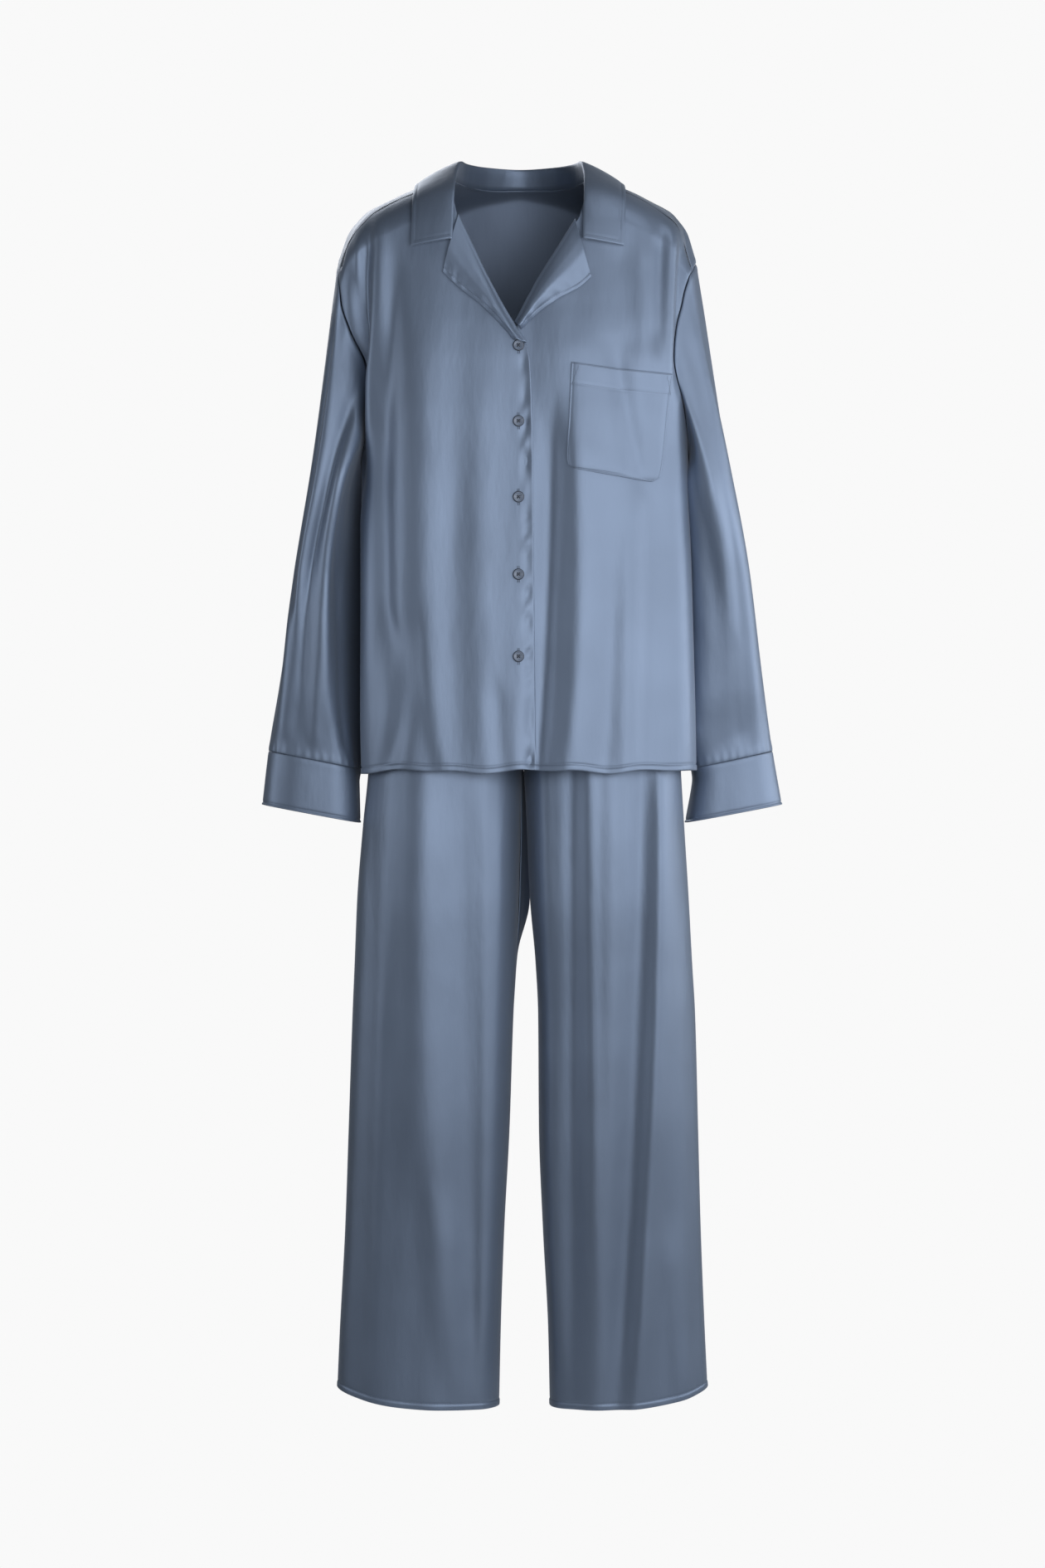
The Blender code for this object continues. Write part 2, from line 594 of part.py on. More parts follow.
# Profile of a button: radius, height over its back
BUTTON_PROFILE = ((0.0, 0.0), (5.4, 0.0), (6.2, 0.9), (6.0, 2.3), (4.9, 2.5), (4.2, 1.7), (0.0, 1.7))
BUTTON_SIDES = 18
BUTTON_SEAT = 0.5  # the button's back lies this far off the cloth
HOLE_AT = 1.4  # each of the four holes, sideways and up from the middle
HOLE_R = 0.8
HOLE_CUT = 8.0  # length of the cutter, which passes right through


def build_button(number, height, plastic):
    """Dished disc with a rolled rim and four holes, lying on the upper front."""
    chart = place(np.array(-BUTTON_X + column(BODY, 5, height)), height)
    seat = shirt(-1, chart, BUTTON_SEAT)
    turn = np.linspace(0, 2 * np.pi, BUTTON_SIDES, endpoint=False)
    points, faces = [(0, BUTTON_PROFILE[0][1], 0)], []
    for radius, lift in BUTTON_PROFILE[1:-1]:
        points += [(radius * np.cos(t), lift, radius * np.sin(t)) for t in turn]
    points.append((0, BUTTON_PROFILE[-1][1], 0))
    last = len(points) - 1
    for i in range(BUTTON_SIDES):
        j = (i + 1) % BUTTON_SIDES
        faces.append((0, 1 + j, 1 + i))
        for r in range(len(BUTTON_PROFILE) - 3):
            a = 1 + r * BUTTON_SIDES
            faces.append((a + i, a + j, a + BUTTON_SIDES + j, a + BUTTON_SIDES + i))
        a = 1 + (len(BUTTON_PROFILE) - 3) * BUTTON_SIDES
        faces.append((a + i, a + j, last))
    out = unit(body_normal(-1, *chart))
    up = unit(np.array([0, 0, 1.0]) - out * out[2])
    right = np.cross(up, out)
    points = [seat + right * x + out * y + up * z for x, y, z in points]
    mesh = bpy.data.meshes.new(f"button_{number}")
    mesh.from_pydata([tuple(p * MM) for p in points], [], faces)
    if sum(np.dot(points[f[0]], np.cross(points[f[1]], points[f[2]])) for f in faces) < 0:
        mesh.flip_normals()
    mesh.shade_smooth()
    mesh.materials.append(plastic)
    button = bpy.data.objects.new(f"button_{number}", mesh)
    bpy.context.scene.collection.objects.link(button)
    for k, (dx, dz) in enumerate(((1, 1), (-1, 1), (-1, -1), (1, -1))):
        bpy.ops.mesh.primitive_cylinder_add(vertices=6, radius=HOLE_R * MM, depth=HOLE_CUT * MM)
        hole = bpy.context.object
        hole.name = f"button_{number}_hole_{k}"
        centre = seat + (right * dx + up * dz) * HOLE_AT + out
        axes = np.stack([right, up, out], 1)
        matrix = np.eye(4)
        matrix[:3, :3] = axes
        matrix[:3, 3] = centre * MM
        hole.matrix_world = Matrix(matrix.tolist())
        hole.hide_render = True
        hole.display_type = "WIRE"
        cut = button.modifiers.new(f"hole_{k}", "BOOLEAN")
        cut.solver = "EXACT"
        cut.object = hole
    return button


def build_waistband(satin):
    """Elastic band, a plain ring at the top of the trousers."""
    turn = np.radians(np.linspace(0, 360, 40, endpoint=False))
    rows = []
    for z in np.linspace(WAIST_SEAM + 0.5, WAIST_TOP, 4):
        s, c = np.sin(turn), np.cos(turn)
        k = round_k(s, c, HIP_SQUARENESS)
        wide = column(HIPS, 1, z)
        deep = np.where(c > 0, column(HIPS, 2, z), column(HIPS, 3, z))
        rows.append(np.stack([column(HIPS, 4, z) + wide * s * k, -deep * c * k, 0 * s + z], -1))
    grid = np.array(rows)
    hub = grid.mean(1, keepdims=True) * (1, 1, 0) + grid * (0, 0, 1)
    return solid("waistband", grid, grid - unit(grid - hub) * BAND_WALL, satin, ring=True)


# ---- trousers -----------------------------------------------------------------------------------
TROUSER_COLUMNS = 10
TROUSER_ROWS = 22
LEG_SET_BACK = 3.0  # the legs hang this far behind the hips


def trouser_point(side, share, z, front):
    """share runs from the centre or inside leg, 0, to the outside seam, 1."""
    pick = 0 if side < 0 else 2
    turn = np.radians(90 * share)
    s, c = np.sin(turn), np.cos(turn)
    k = round_k(s, c, HIP_SQUARENESS)
    deep = column(HIPS, 2 if front else 3, z)
    hip = np.stack([side * column(HIPS, 4, z) + column(HIPS, 1, z) * s * k, deep * c * k], -1)
    turn = np.radians(180 * share - 90)
    s, c = np.sin(turn), np.cos(turn)
    k = round_k(s, c, LEG_SQUARENESS)
    outer, inner = column(LEG, 1 + pick, z), column(LEG, 2 + pick, z)
    deep = column(LEG, 5 if front else 6, z)
    leg = np.stack([(outer + inner) / 2 + (outer - inner) / 2 * s * k, deep * c * k], -1)
    part = smoothstep(HIP_END, CROTCH, z)[..., None]
    flat = hip * (1 - part) + leg * part
    x = np.maximum(flat[..., 0], 0.3)
    y = flat[..., 1] * (-1 if front else 1) + LEG_SET_BACK * part[..., 0]
    lift = folds(LEG_FRONT_FOLDS if front else LEG_BACK_FOLDS, side * x, z)
    lift = lift * smoothstep(0.04, 0.25, share) * smoothstep(0.99, 0.8, share)
    y = y + lift * (-1 if front else 1)
    return np.stack([side * x, y, z + 0 * x], -1)


def build_trouser(name, side, front, satin):
    share = np.linspace(0, 1, TROUSER_COLUMNS + 1)
    share[0], share[-1] = 0.002, 0.998
    down, share = np.meshgrid(np.linspace(0, 1, TROUSER_ROWS + 1), share, indexing="ij")
    z = WAIST_SEAM + (HEM_INSIDE + (HEM_OUTSIDE - HEM_INSIDE) * share - WAIST_SEAM) * down
    grid = trouser_point(side, share, z, front)
    d_share = trouser_point(side, share + 0.004, z, front) - trouser_point(side, share - 0.004, z, front)
    d_z = trouser_point(side, share, z + 0.5, front) - trouser_point(side, share, z - 0.5, front)
    normal = unit(np.cross(d_share, d_z)) * side * (1 if front else -1)
    return solid(name, grid, grid - normal * WALL, satin)


# ---- build --------------------------------------------------------------------------------------
for old in list(bpy.data.objects):
    bpy.data.objects.remove(old, do_unlink=True)

SATIN = material("satin", (0.16, 0.20, 0.28), 0.38)
PLASTIC = material("button_plastic", (0.24, 0.29, 0.38), 0.35)

build_front("shirt_front_right", -1, ROLL_RIGHT, EDGE_RIGHT, False, SATIN)
build_front("shirt_front_left", 1, ROLL_LEFT, EDGE_LEFT, True, SATIN)
build_back(SATIN)
for side, word in ((-1, "right"), (1, "left")):
    psi = sleeve_psi()
    solid(f"sleeve_{word}", *sleeve_layers(side, psi, SLEEVE_ROWS, WALL), SATIN, ring=True)
    solid(f"cuff_{word}", *sleeve_layers(side, psi, CUFF_ROWS, BAND_WALL), SATIN, ring=True)
    build_trouser(f"trouser_front_{word}", side, True, SATIN)
    build_trouser(f"trouser_back_{word}", side, False, SATIN)
build_collar(SATIN)
build_lapel("lapel_right", -1, ROLL_RIGHT, LAPEL_OUTER_RIGHT, SATIN)
build_lapel("lapel_left", 1, ROLL_LEFT_SEEN, LAPEL_OUTER_LEFT, SATIN)
build_pocket(1, SATIN)
build_waistband(SATIN)
for number, height in enumerate(BUTTON_ROWS, 1):
    build_button(number, height, PLASTIC)
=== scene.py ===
"""Satin pyjama set, dressed: a revere-collar shirt, filled out, above wide trousers. Forms in mm, +X to the
wearer's left, the front facing -Y, the origin at the middle of the neck."""

import bpy
import numpy as np
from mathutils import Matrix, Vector


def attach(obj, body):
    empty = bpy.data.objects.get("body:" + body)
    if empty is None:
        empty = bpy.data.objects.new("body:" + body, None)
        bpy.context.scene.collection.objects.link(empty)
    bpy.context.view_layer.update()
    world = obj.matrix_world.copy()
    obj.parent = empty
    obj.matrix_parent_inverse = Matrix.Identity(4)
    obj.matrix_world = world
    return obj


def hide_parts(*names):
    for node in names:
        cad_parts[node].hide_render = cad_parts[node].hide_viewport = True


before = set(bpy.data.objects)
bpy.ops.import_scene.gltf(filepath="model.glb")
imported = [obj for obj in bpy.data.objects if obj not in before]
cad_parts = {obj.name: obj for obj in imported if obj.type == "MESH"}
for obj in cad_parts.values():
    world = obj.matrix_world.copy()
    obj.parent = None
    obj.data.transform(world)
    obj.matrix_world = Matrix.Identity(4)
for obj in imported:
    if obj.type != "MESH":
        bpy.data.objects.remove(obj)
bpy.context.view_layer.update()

MM = 0.001

# ---- sizes shared with the solids, mm ----
CLOTH = 0.8
BAND = 1.4
SHIRT_HEM = -663.0
SHOULDER_FOOT = -93.0  # the line of the shoulder ends here
SQUARE_FROM = -250.0  # the squarest section, and so down to the hem
ARMHOLE_TOP = -82.0
UNDERARM = -300.0
ARMHOLE_FRONT = {-1: 21.0, 1: 32.0}  # reach in degrees; the right one is drawn back by its crease
ARMHOLE_BACK = 31.0
SEAM_TURN = 26.0  # degrees round the armhole where the shoulder seam ends
SEAM_BEND = 0.8
NECK_TURN, NECK_TOP, NECK_RISE = 86, 12, 1.3  # degrees and height of the neck seam's end, rise to the middle
ARCH_FRONT, ARCH_BACK = 48.0, 28.0
BACK_TAPER = 0.05
UNDERLAP_DROP = 2.0
UNDERLAP_BEND = (6.0, 46.0)
HEM_TURN = 7.0  # width of the turned hems
EDGE_SEWN = 5.0  # stitches this far in from the edge of collar and lapels
POCKET_SEWN = 2.2
BUTTON_X = -4.5
BUTTON_ROWS = (-184.0, -269.0, -354.0, -441.0, -533.5)
WAIST_TOP = -345.0
WAIST_SEAM = -378.0
HIP_END = -520.0  # the two legs begin to part from the hips here
CROTCH = -645.0
HIP_SQUARENESS, LEG_SQUARENESS = 2.6, 2.4
LEG_SET_BACK = 3.0  # the legs hang this far behind the hips

SHOULDER = (
    (0, 30), (40, 23), (60, 17), (73, 12), (95, 9.5), (114, 5.5), (128, 0), (150, -11),
    (173, -23), (184, -34), (193, -46), (201, -68), (208, -93),
)  # fmt: skip

# Sewn line just in front of the shoulder: x outward, height
SHOULDER_SEAM = ((84, 5.5), (98, 1), (114, -3.5), (150, -20.5), (178, -42), (193, -64), (200, -90))

# Body of the shirt: height, half width, reach of the curve, front depth, back depth, centre x
BODY = (
    (-663, 191, 191, 94, 98, 7.5),
    (-560, 190, 190, 91, 95, 6),
    (-445, 188.5, 188.5, 89, 92, 4.5),
    (-300, 186.5, 186.5, 93, 98, 1.5),
    (-250, 190, 190, 95, 101, 0),
    (-200, 196, 197, 95, 104, -2),
    (-160, 203, 205, 93, 105, -3.5),
    (-130, 208, 211, 90, 105, -5),
    (-93, 208, 216, 86, 103, -6),
    (-20, 168, 216, 82, 98, -4),
    (30, 40, 216, 80, 92, -2),
)

NECKLINE = ((73, 11.9), (75.5, 4), (74, -14), (68.5, -39))
ROLL_RIGHT = ((68.5, -39), (49.5, -77), (29.3, -120), (7.9, -163), (-3.5, -180))
ROLL_LEFT = ((65, -44), (45.8, -77), (20.5, -118), (-4.8, -165), (-12, -182))
EDGE_RIGHT = ((-3.5, -180), (-7.5, -185), (-10, -200), (-10.5, -222), (-8.6, -445), (-8, -663))
EDGE_LEFT = ((-12, -182), (-12, -200), (-12, -222), (-12, -445), (-12, -663))

# Lapel: share of its width out from the roll, lift off the front
LAPEL_LIFT = ((0, 3.4), (0.05, 4.6), (0.16, 6.4), (0.34, 8.2), (0.5, 8.6), (0.7, 6.6), (0.88, 3.6), (1, 1.9))
LAPEL_TURN = ((9, -3.2), (4, -3.2), (0, -3.2), (-2.6, -2.2), (-3.9, -0.2), (-4, 1.8), (-2.4, 3.6))
LAPEL_OUTER_RIGHT = ((8, -178), (15.5, -168), (42, -139), (66, -119), (84, -101))
LAPEL_OUTER_LEFT = ((2, -166), (20.5, -149), (48.5, -130), (70, -118), (83.5, -106))
ROLL_LEFT_SEEN = ((65, -44), (45.8, -77), (20.5, -118), (-3, -160))

# Collar: neck x, z, behind; fold x, y, z; edge x, z, behind; gaps over the shirt at the neck and at the edge
COLLAR = (
    (77.5, -64, 0, 73, -97, -64, 119, -72, 0, 3.8, 9),
    (76, -40, 0, 72.5, -91, -37, 119.5, -47, 0, 3.8, 6.5),
    (76, -16, 0, 72.5, -76, -8, 119.5, -22, 0, 3.2, 4.5),
    (75.8, 2, 0, 72, -46, 16, 119, -5, 0, 2, 3.6),
    (73, 12, 0, 68, -8, 35, 118, 4.2, 0, 0.2, 3.6),
    (68, 12, 1, 64, 28, 38.5, 112, -4, 1, -1.1, 3.6),
    (40, 11.8, 1, 40, 66, 38.5, 76, -21, 1, -1.1, 3.6),
    (0, 11.6, 1, 0, 82, 38, 0, -24, 1, -1.1, 3.6),
)

# Sleeve sections: share of the length, height outside, height inside, outer x right, outer x left,
# inner x right, inner x left, centre y right, centre y left, half depth, lean
SLEEVE = (
    (0.31, -300, -350, 237.5, 231.5, 191, 194.5, 5, 8, 62, 0.10),
    (0.56, -437, -457, 257.5, 255.5, 195.5, 197.5, 10, 22, 53, 0.24),
    (0.80, -555, -576, 276, 274, 193.5, 198.5, 14, 34, 46, 0.18),
    (1.00, -639, -659, 291.5, 288.5, 188.5, 197.5, 18, 42, 39, 0.05),
    (1.15, -701, -722, 299, 299.5, 187, 188.5, 20, 44, 41, 0.05),
)

# Legs: height, outer x right, inner x right, outer x left, inner x left, front depth, back depth
LEG = (
    (-1392, 213, 27, 213, 31.5, 60, 62),
    (-1300, 209, 25, 208.5, 29.5, 60, 63),
    (-1186, 203, 21, 204, 23.5, 62, 66),
    (-1072, 199, 15, 201, 19, 66, 70),
    (-940, 194.5, 10.5, 197.5, 18, 70, 75),
    (-880, 192, 7, 194, 15, 72, 78),
    (-806, 189, 4.5, 190, 8.5, 75, 78),
    (-725, 182.5, 2.5, 185, 5, 76, 77),
    (-645, 175.5, 1, 180.5, 1.5, 76, 76),
    (-340, 172, 1, 172, 1, 70, 72),
)

# Hips: height, half width, front depth, back depth, centre x
HIPS = (
    (-700, 180, 76, 83, 3),
    (-600, 176, 76, 83, 3),
    (-500, 166, 74, 80, 2.5),
    (-378, 146, 63, 68, 2),
    (-340, 144, 62, 66, 2),
)

# Folds, seen from the front: x and height at the top, middle x, x and height at the bottom,
# half width, lift, lean (+1 is steep on the +X side)
FRONT_FOLDS = (
    (-175, -44, -177, -187, -210, 9, -8, 0),
    (-187, -60, -187, -187, -150, 5, 3, 0),
    (-184, -90, -189, -188, -350, 9, -15, 0),
    (-168, -60, -174, -175, -300, 7, 3, 0.2),
    (-164, -36, -160, -158, -250, 13, 4, 0.2),
    (-181, -230, -180, -182, -680, 10, 3.5, 0),
    (-146, -90, -157, -152, -560, 14, -7, 0.1),
    (-150, -480, -136, -168, -690, 14, -5, 0),
    (-118, -140, -114, -108, -690, 30, 6, 0.1),
    (-122, -470, -116, -96, -690, 12, -3, 0.3),
    (-74, -300, -80, -72, -690, 20, -2.5, 0),
    (-48, -200, -46, -42, -690, 18, 2, 0),
    (-30, -560, -26, -18, -690, 11, -2.5, 0),
    (186, -50, 180, 176, -225, 9, -8, -0.4),
    (170, -30, 166, 168, -240, 9, 4.5, 0.2),
    (157, -44, 155, 150, -190, 9, -4.5, 0),
    (136, -50, 140, 143, -220, 14, 3, 0),
    (104, -60, 112, 118, -200, 20, -3, 0),
    (60, -150, 64, 70, -330, 22, 3, 0),
    (104, -180, 118, 136, -350, 13, -4.5, 0),
    (32, -255, 28, 15, -690, 13, -8.5, 0.3),
    (62, -265, 66, 52, -690, 20, 8, -0.5),
    (104, -440, 98, 90, -690, 12, -1.5, 0),
    (120, -380, 118, 114, -690, 14, 3, 0),
    (146, -300, 146, 143, -690, 15, -4.5, 0),
    (176, -230, 180, 184, -680, 13, 6, 0),
)
BACK_FOLDS = (
    (-128, -120, -122, -100, -690, 30, 5, 0.1),
    (-82, -200, -80, -70, -690, 16, -4, 0),
    (-46, -150, -36, -40, -690, 22, 3.5, -0.2),
    (-6, -260, -12, 2, -690, 17, -4, 0),
    (34, -220, 40, 34, -690, 20, 3.5, 0),
    (70, -180, 76, 84, -690, 17, -4.5, 0.3),
    (116, -130, 112, 124, -690, 24, 5, 0),
    (158, -240, 152, 156, -690, 15, -3.5, 0),
    (-160, -240, -158, -160, -690, 14, -3.5, 0),
    (-60, -40, -80, -120, -190, 14, -3, 0),
    (64, -40, 82, 126, -180, 14, -3, 0),
)
LEG_FRONT_FOLDS = (
    (-168, -560, -176, -188, -1400, 13, -6, 0.2),
    (-146, -860, -150, -160, -1390, 16, -2.5, 0),
    (-112, -600, -110, -100, -1400, 24, 5, 0.2),
    (-66, -600, -66, -60, -1400, 14, -3, 0),
    (-40, -600, -42, -46, -1400, 10, 2.5, -0.3),
    (-120, -1100, -112, -86, -1400, 18, -3, 0.2),
    (-86, -1150, -76, -62, -1400, 15, 3, 0),
    (168, -1180, 176, 190, -1400, 12, 2.5, 0),
    (160, -560, 152, 126, -1420, 13, 8, -0.4),
    (132, -560, 126, 102, -1420, 14, -6.5, 0.2),
    (96, -560, 98, 88, -1400, 14, 2.5, 0),
    (76, -560, 78, 82, -1250, 10, 4, 0.2),
    (56, -560, 58, 60, -1400, 10, -5, 0),
    (20, -560, 26, 38, -1400, 13, 8, 0),
    (-24, -640, -30, -44, -1400, 12, 5, 0),
    (190, -900, 194, 198, -1400, 8, -3, 0),
    (150, -1080, 156, 172, -1420, 18, -2.5, 0),
)
LEG_BACK_FOLDS = (
    (-120, -620, -124, -128, -1390, 20, 4.5, 0.2),
    (-82, -640, -80, -70, -1390, 13, -4.5, 0),
    (-50, -660, -52, -50, -1390, 13, 3, 0),
    (-156, -700, -158, -160, -1390, 12, -4, 0),
    (-100, -900, -104, -96, -1390, 9, -2.5, 0),
    (96, -600, 98, 104, -1390, 18, 4.5, 0.2),
    (66, -640, 64, 60, -1390, 12, -4, 0),
    (136, -640, 140, 140, -1390, 12, -4.5, 0),
    (164, -680, 166, 170, -1390, 13, 3, 0),
    (44, -800, 46, 44, -1390, 10, 2.5, 0),
)
# Folds of the sleeves: degrees round and share of the length at the top, middle degrees, degrees and share at
# the bottom, half width in degrees, lift, lean
SLEEVE_RIGHT_FOLDS = (
    (56, 0.04, 68, 60, 0.66, 11, 4.5, -0.2),
    (40, 0.03, 48, 44, 0.50, 9, -3, 0),
    (98, 0.05, 94, 86, 0.60, 11, -4, 0),
    (126, 0.04, 120, 112, 0.85, 12, 4, 0.3),
    (80, 0.42, 76, 70, 0.98, 12, -3.5, 0),
    (106, 0.56, 102, 96, 0.99, 10, 3, 0),
    (46, 0.60, 50, 52, 0.98, 11, 3, 0),
    (142, 0.45, 146, 140, 0.97, 10, -4, 0),
    (200, 0.04, 206, 210, 0.96, 18, -3, 0),
    (250, 0.05, 255, 260, 0.96, 17, 3.5, 0),
    (286, 0.02, 282, 290, 0.90, 15, -3.5, 0),
    (322, 0.02, 326, 318, 0.98, 16, 3, 0),
)
SLEEVE_LEFT_FOLDS = (
    (132, 0.06, 128, 120, 0.60, 13, -3, 0),
    (104, 0.03, 100, 92, 0.80, 14, 2.6, 0),
    (72, 0.05, 74, 70, 0.96, 13, -2.4, 0),
    (44, 0.08, 46, 52, 0.98, 16, 2.4, 0),
    (92, 0.66, 90, 84, 0.99, 10, -1.8, 0),
    (204, 0.04, 206, 214, 0.96, 18, -3, 0),
    (246, 0.05, 252, 256, 0.96, 17, 3.5, 0),
    (290, 0.02, 284, 288, 0.90, 15, -3.5, 0),
    (326, 0.02, 330, 322, 0.98, 16, 3, 0),
)


# ---- curves and folds ----
def through(xs, ys, at):
    """Cubic through the rows that never overshoots them; ys may hold points or whole rings of points."""
    xs, ys, at = (np.asarray(v, float) for v in (xs, ys, at))
    if xs[0] > xs[-1]:
        xs, ys = xs[::-1], ys[::-1]
    wide = (slice(None),) + (None,) * (ys.ndim - 1)
    step = np.diff(xs)[wide]
    rise = np.diff(ys, axis=0) / step
    slope = np.concatenate([rise[:1], 0 * rise[1:], rise[-1:]])
    both = rise[:-1] * rise[1:]
    total = rise[:-1] + rise[1:]
    slope[1:-1] = np.where(both > 0, 2 * both / np.where(np.abs(total) < 1e-9, 1, total), 0)
    shape = at.shape
    at = np.clip(at.reshape(-1), xs[0], xs[-1])
    i = np.clip(np.searchsorted(xs, at) - 1, 0, len(xs) - 2)
    t = ((at - xs[i]) / np.diff(xs)[i])[wide]
    a = (1 + 2 * t) * (1 - t) ** 2
    b = t * t * (3 - 2 * t)
    drive = t * (1 - t) ** 2 * slope[i] - t * t * (1 - t) * slope[i + 1]
    return (a * ys[i] + b * ys[i + 1] + step[i] * drive).reshape(shape + ys.shape[1:])


def column(table, number, at):
    rows = np.array(table, float)
    return through(rows[:, 0], rows[:, number], at)


def smoothstep(low, high, at):
    t = np.clip((at - low) / (high - low), 0, 1)
    return t * t * (3 - 2 * t)


def bell(at, centre, half):
    """1 at the centre, under 0.02 from twice the half width on."""
    return np.exp(-(((at - centre) / half) ** 2))


def unit(v):
    return v / np.maximum(np.linalg.norm(v, axis=-1, keepdims=True), 1e-9)


def round_k(s, c, n):
    return (np.abs(s) ** n + np.abs(c) ** n) ** (-1 / n)


def along(points, share):
    """Points at these shares of the length of a line through the given ones."""
    points = np.array(points, float)
    run = np.concatenate([[0], np.cumsum(np.linalg.norm(np.diff(points, axis=0), axis=1))])
    return through(run / run[-1], points, np.asarray(share, float))


def fill(inner, outer, bottom, top, v, u):
    """Grid spanned by four edges: rows from bottom to top, columns from inner to outer."""
    v, u = v[:, None, None], u[None, :, None]
    sides = (1 - u) * inner[:, None] + u * outer[:, None]
    ends = (1 - v) * bottom[None] + v * top[None]
    corners = (1 - v) * ((1 - u) * bottom[0] + u * bottom[-1]) + v * ((1 - u) * top[0] + u * top[-1])
    return sides + ends - corners


def folds(table, x, z):
    """Lift of the cloth from soft ridges and valleys, each along a bent line."""
    lift = 0 * x
    for x0, z0, middle, x1, z1, half, height, lean in table:
        t = (z - z0) / (z1 - z0)
        bend = np.clip(t, -0.2, 1.2)
        centre = x0 * (1 - bend) + x1 * bend + (2 * middle - x0 - x1) * 2 * bend * (1 - bend)
        off = (x - centre) / half
        off = off / (1 - 0.6 * lean * np.tanh(off * 1.5))
        ends = smoothstep(-0.10, 0.22, t) * smoothstep(1.12, 0.80, t)
        lift = lift + height * np.exp(-(off**2)) * ends
    return lift


def ripple(x, z, seed):
    """Faint uneven drape: a few slanted waves."""
    made = np.random.default_rng(seed)
    lift = 0 * x
    for _ in range(7):
        across, down = made.uniform(0.03, 0.11), made.uniform(-0.010, 0.010)
        lift = lift + made.uniform(0.15, 0.4) * np.sin(across * x + down * z + made.uniform(0, 6.3))
    return lift


# ---- form of the shirt's body ----
SHOULDER_LINE = np.linspace(0, 208, 417)
SHOULDER_HEIGHT = through(*np.array(SHOULDER, float).T, SHOULDER_LINE)


def half_width(z):
    top = np.interp(-z, -SHOULDER_HEIGHT, SHOULDER_LINE)
    return np.where(z >= SHOULDER_FOOT, top, column(BODY, 1, np.minimum(z, SHOULDER_FOOT)))


def squareness(z):
    """2 is an ellipse; below the shoulders the section grows squarer, up to 3."""
    return 2 + np.clip((SHOULDER_FOOT - z) / (SHOULDER_FOOT - SQUARE_FROM), 0, 1)


def body_point(side, phi, z):
    """Outer face of the shirt without folds. phi runs from 0, centre front, to 180, centre back."""
    s, c = np.sin(np.radians(phi)), np.cos(np.radians(phi))
    n = squareness(z)
    x = half_width(z) * s * round_k(s, c, n)
    bow = np.maximum(1 - np.abs(x / column(BODY, 2, z)) ** 3, 0) ** (1 / 3)
    arch = np.where(c >= 0, ARCH_FRONT, ARCH_BACK)
    rise = np.clip((np.interp(np.abs(x), SHOULDER_LINE, SHOULDER_HEIGHT) - z) / arch, 0, 1)
    bow = np.where(z < SQUARE_FROM, np.abs(c) * round_k(s, c, n), bow)
    y = bow * np.sqrt(1 - (1 - rise) ** 2)
    y = np.where(c >= 0, -y * column(BODY, 3, z), y * column(BODY, 4, z))
    x = x * (1 - BACK_TAPER * np.maximum(y, 0) / 100)
    return np.stack([column(BODY, 5, z) + side * x, y, z + 0 * x], -1)


def body_normal(side, phi, z):
    d_phi = body_point(side, phi + 0.3, z) - body_point(side, phi - 0.3, z)
    d_z = body_point(side, phi, z + 0.4) - body_point(side, phi, z - 0.4)
    return unit(np.cross(d_phi, d_z)) * side


def body_lift(side, phi, x, z):
    front = folds(FRONT_FOLDS, x, z) + ripple(x, z, 3)
    lift = np.where(phi < 90, front, folds(BACK_FOLDS, x, z) + ripple(x, z, 4))
    return lift * smoothstep(0.0, 0.35, np.abs(np.cos(np.radians(phi))))


def shirt(side, chart, out=0.0):
    """Point of the shirt at chart = (phi, height), folds and all, moved out by so many mm."""
    phi, z = chart[..., 0], chart[..., 1]
    point = body_point(side, phi, z)
    lift = np.asarray(out) + body_lift(side, phi, point[..., 0], z)
    return point + body_normal(side, phi, z) * lift[..., None]


def place(x, z, behind=0):
    """Chart place of a point seen from the front, x outward from the shirt's centre."""
    x, z = np.asarray(x, float), np.asarray(z, float)
    n = squareness(z)
    r = np.clip(np.abs(x) / half_width(z), 0, 0.9999) ** n
    phi = np.degrees(np.arctan((r / (1 - r)) ** (1 / n))) * np.sign(x)
    return np.stack([np.where(behind, 180 - phi, phi), z + 0 * x], -1)


def seen(rows):
    rows = np.array(rows, float)
    return place(rows[:, 0], rows[:, 1])


# ---- cloth ----
GRIDS = {}  # outer face and outward normals of each finished cloth piece


def normals(grid, ring=False):
    wide = np.concatenate([grid[:, -1:], grid, grid[:, :1]], 1) if ring else grid
    across = np.gradient(wide, axis=1)
    across = across[:, 1:-1] if ring else across
    return unit(np.cross(across, np.gradient(grid, axis=0)))


def make_mesh(name, points, faces):
    mesh = bpy.data.meshes.new(name)
    count, corners = faces.shape
    mesh.vertices.add(len(points))
    mesh.vertices.foreach_set("co", (points * MM).ravel())
    mesh.loops.add(faces.size)
    mesh.loops.foreach_set("vertex_index", faces.ravel())
    mesh.polygons.add(count)
    mesh.polygons.foreach_set("loop_start", np.arange(count) * corners)
    mesh.polygons.foreach_set("loop_total", np.full(count, corners))
    mesh.polygons.foreach_set("use_smooth", np.full(count, True))
    mesh.update(calc_edges=True)
    return mesh


def finish(name, mesh, materials, node=None):
    for made in materials:
        mesh.materials.append(made)
    piece = bpy.data.objects.new(name, mesh)
    bpy.context.scene.collection.objects.link(piece)
    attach(piece, "root")
    if node:
        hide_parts(node)
    return piece


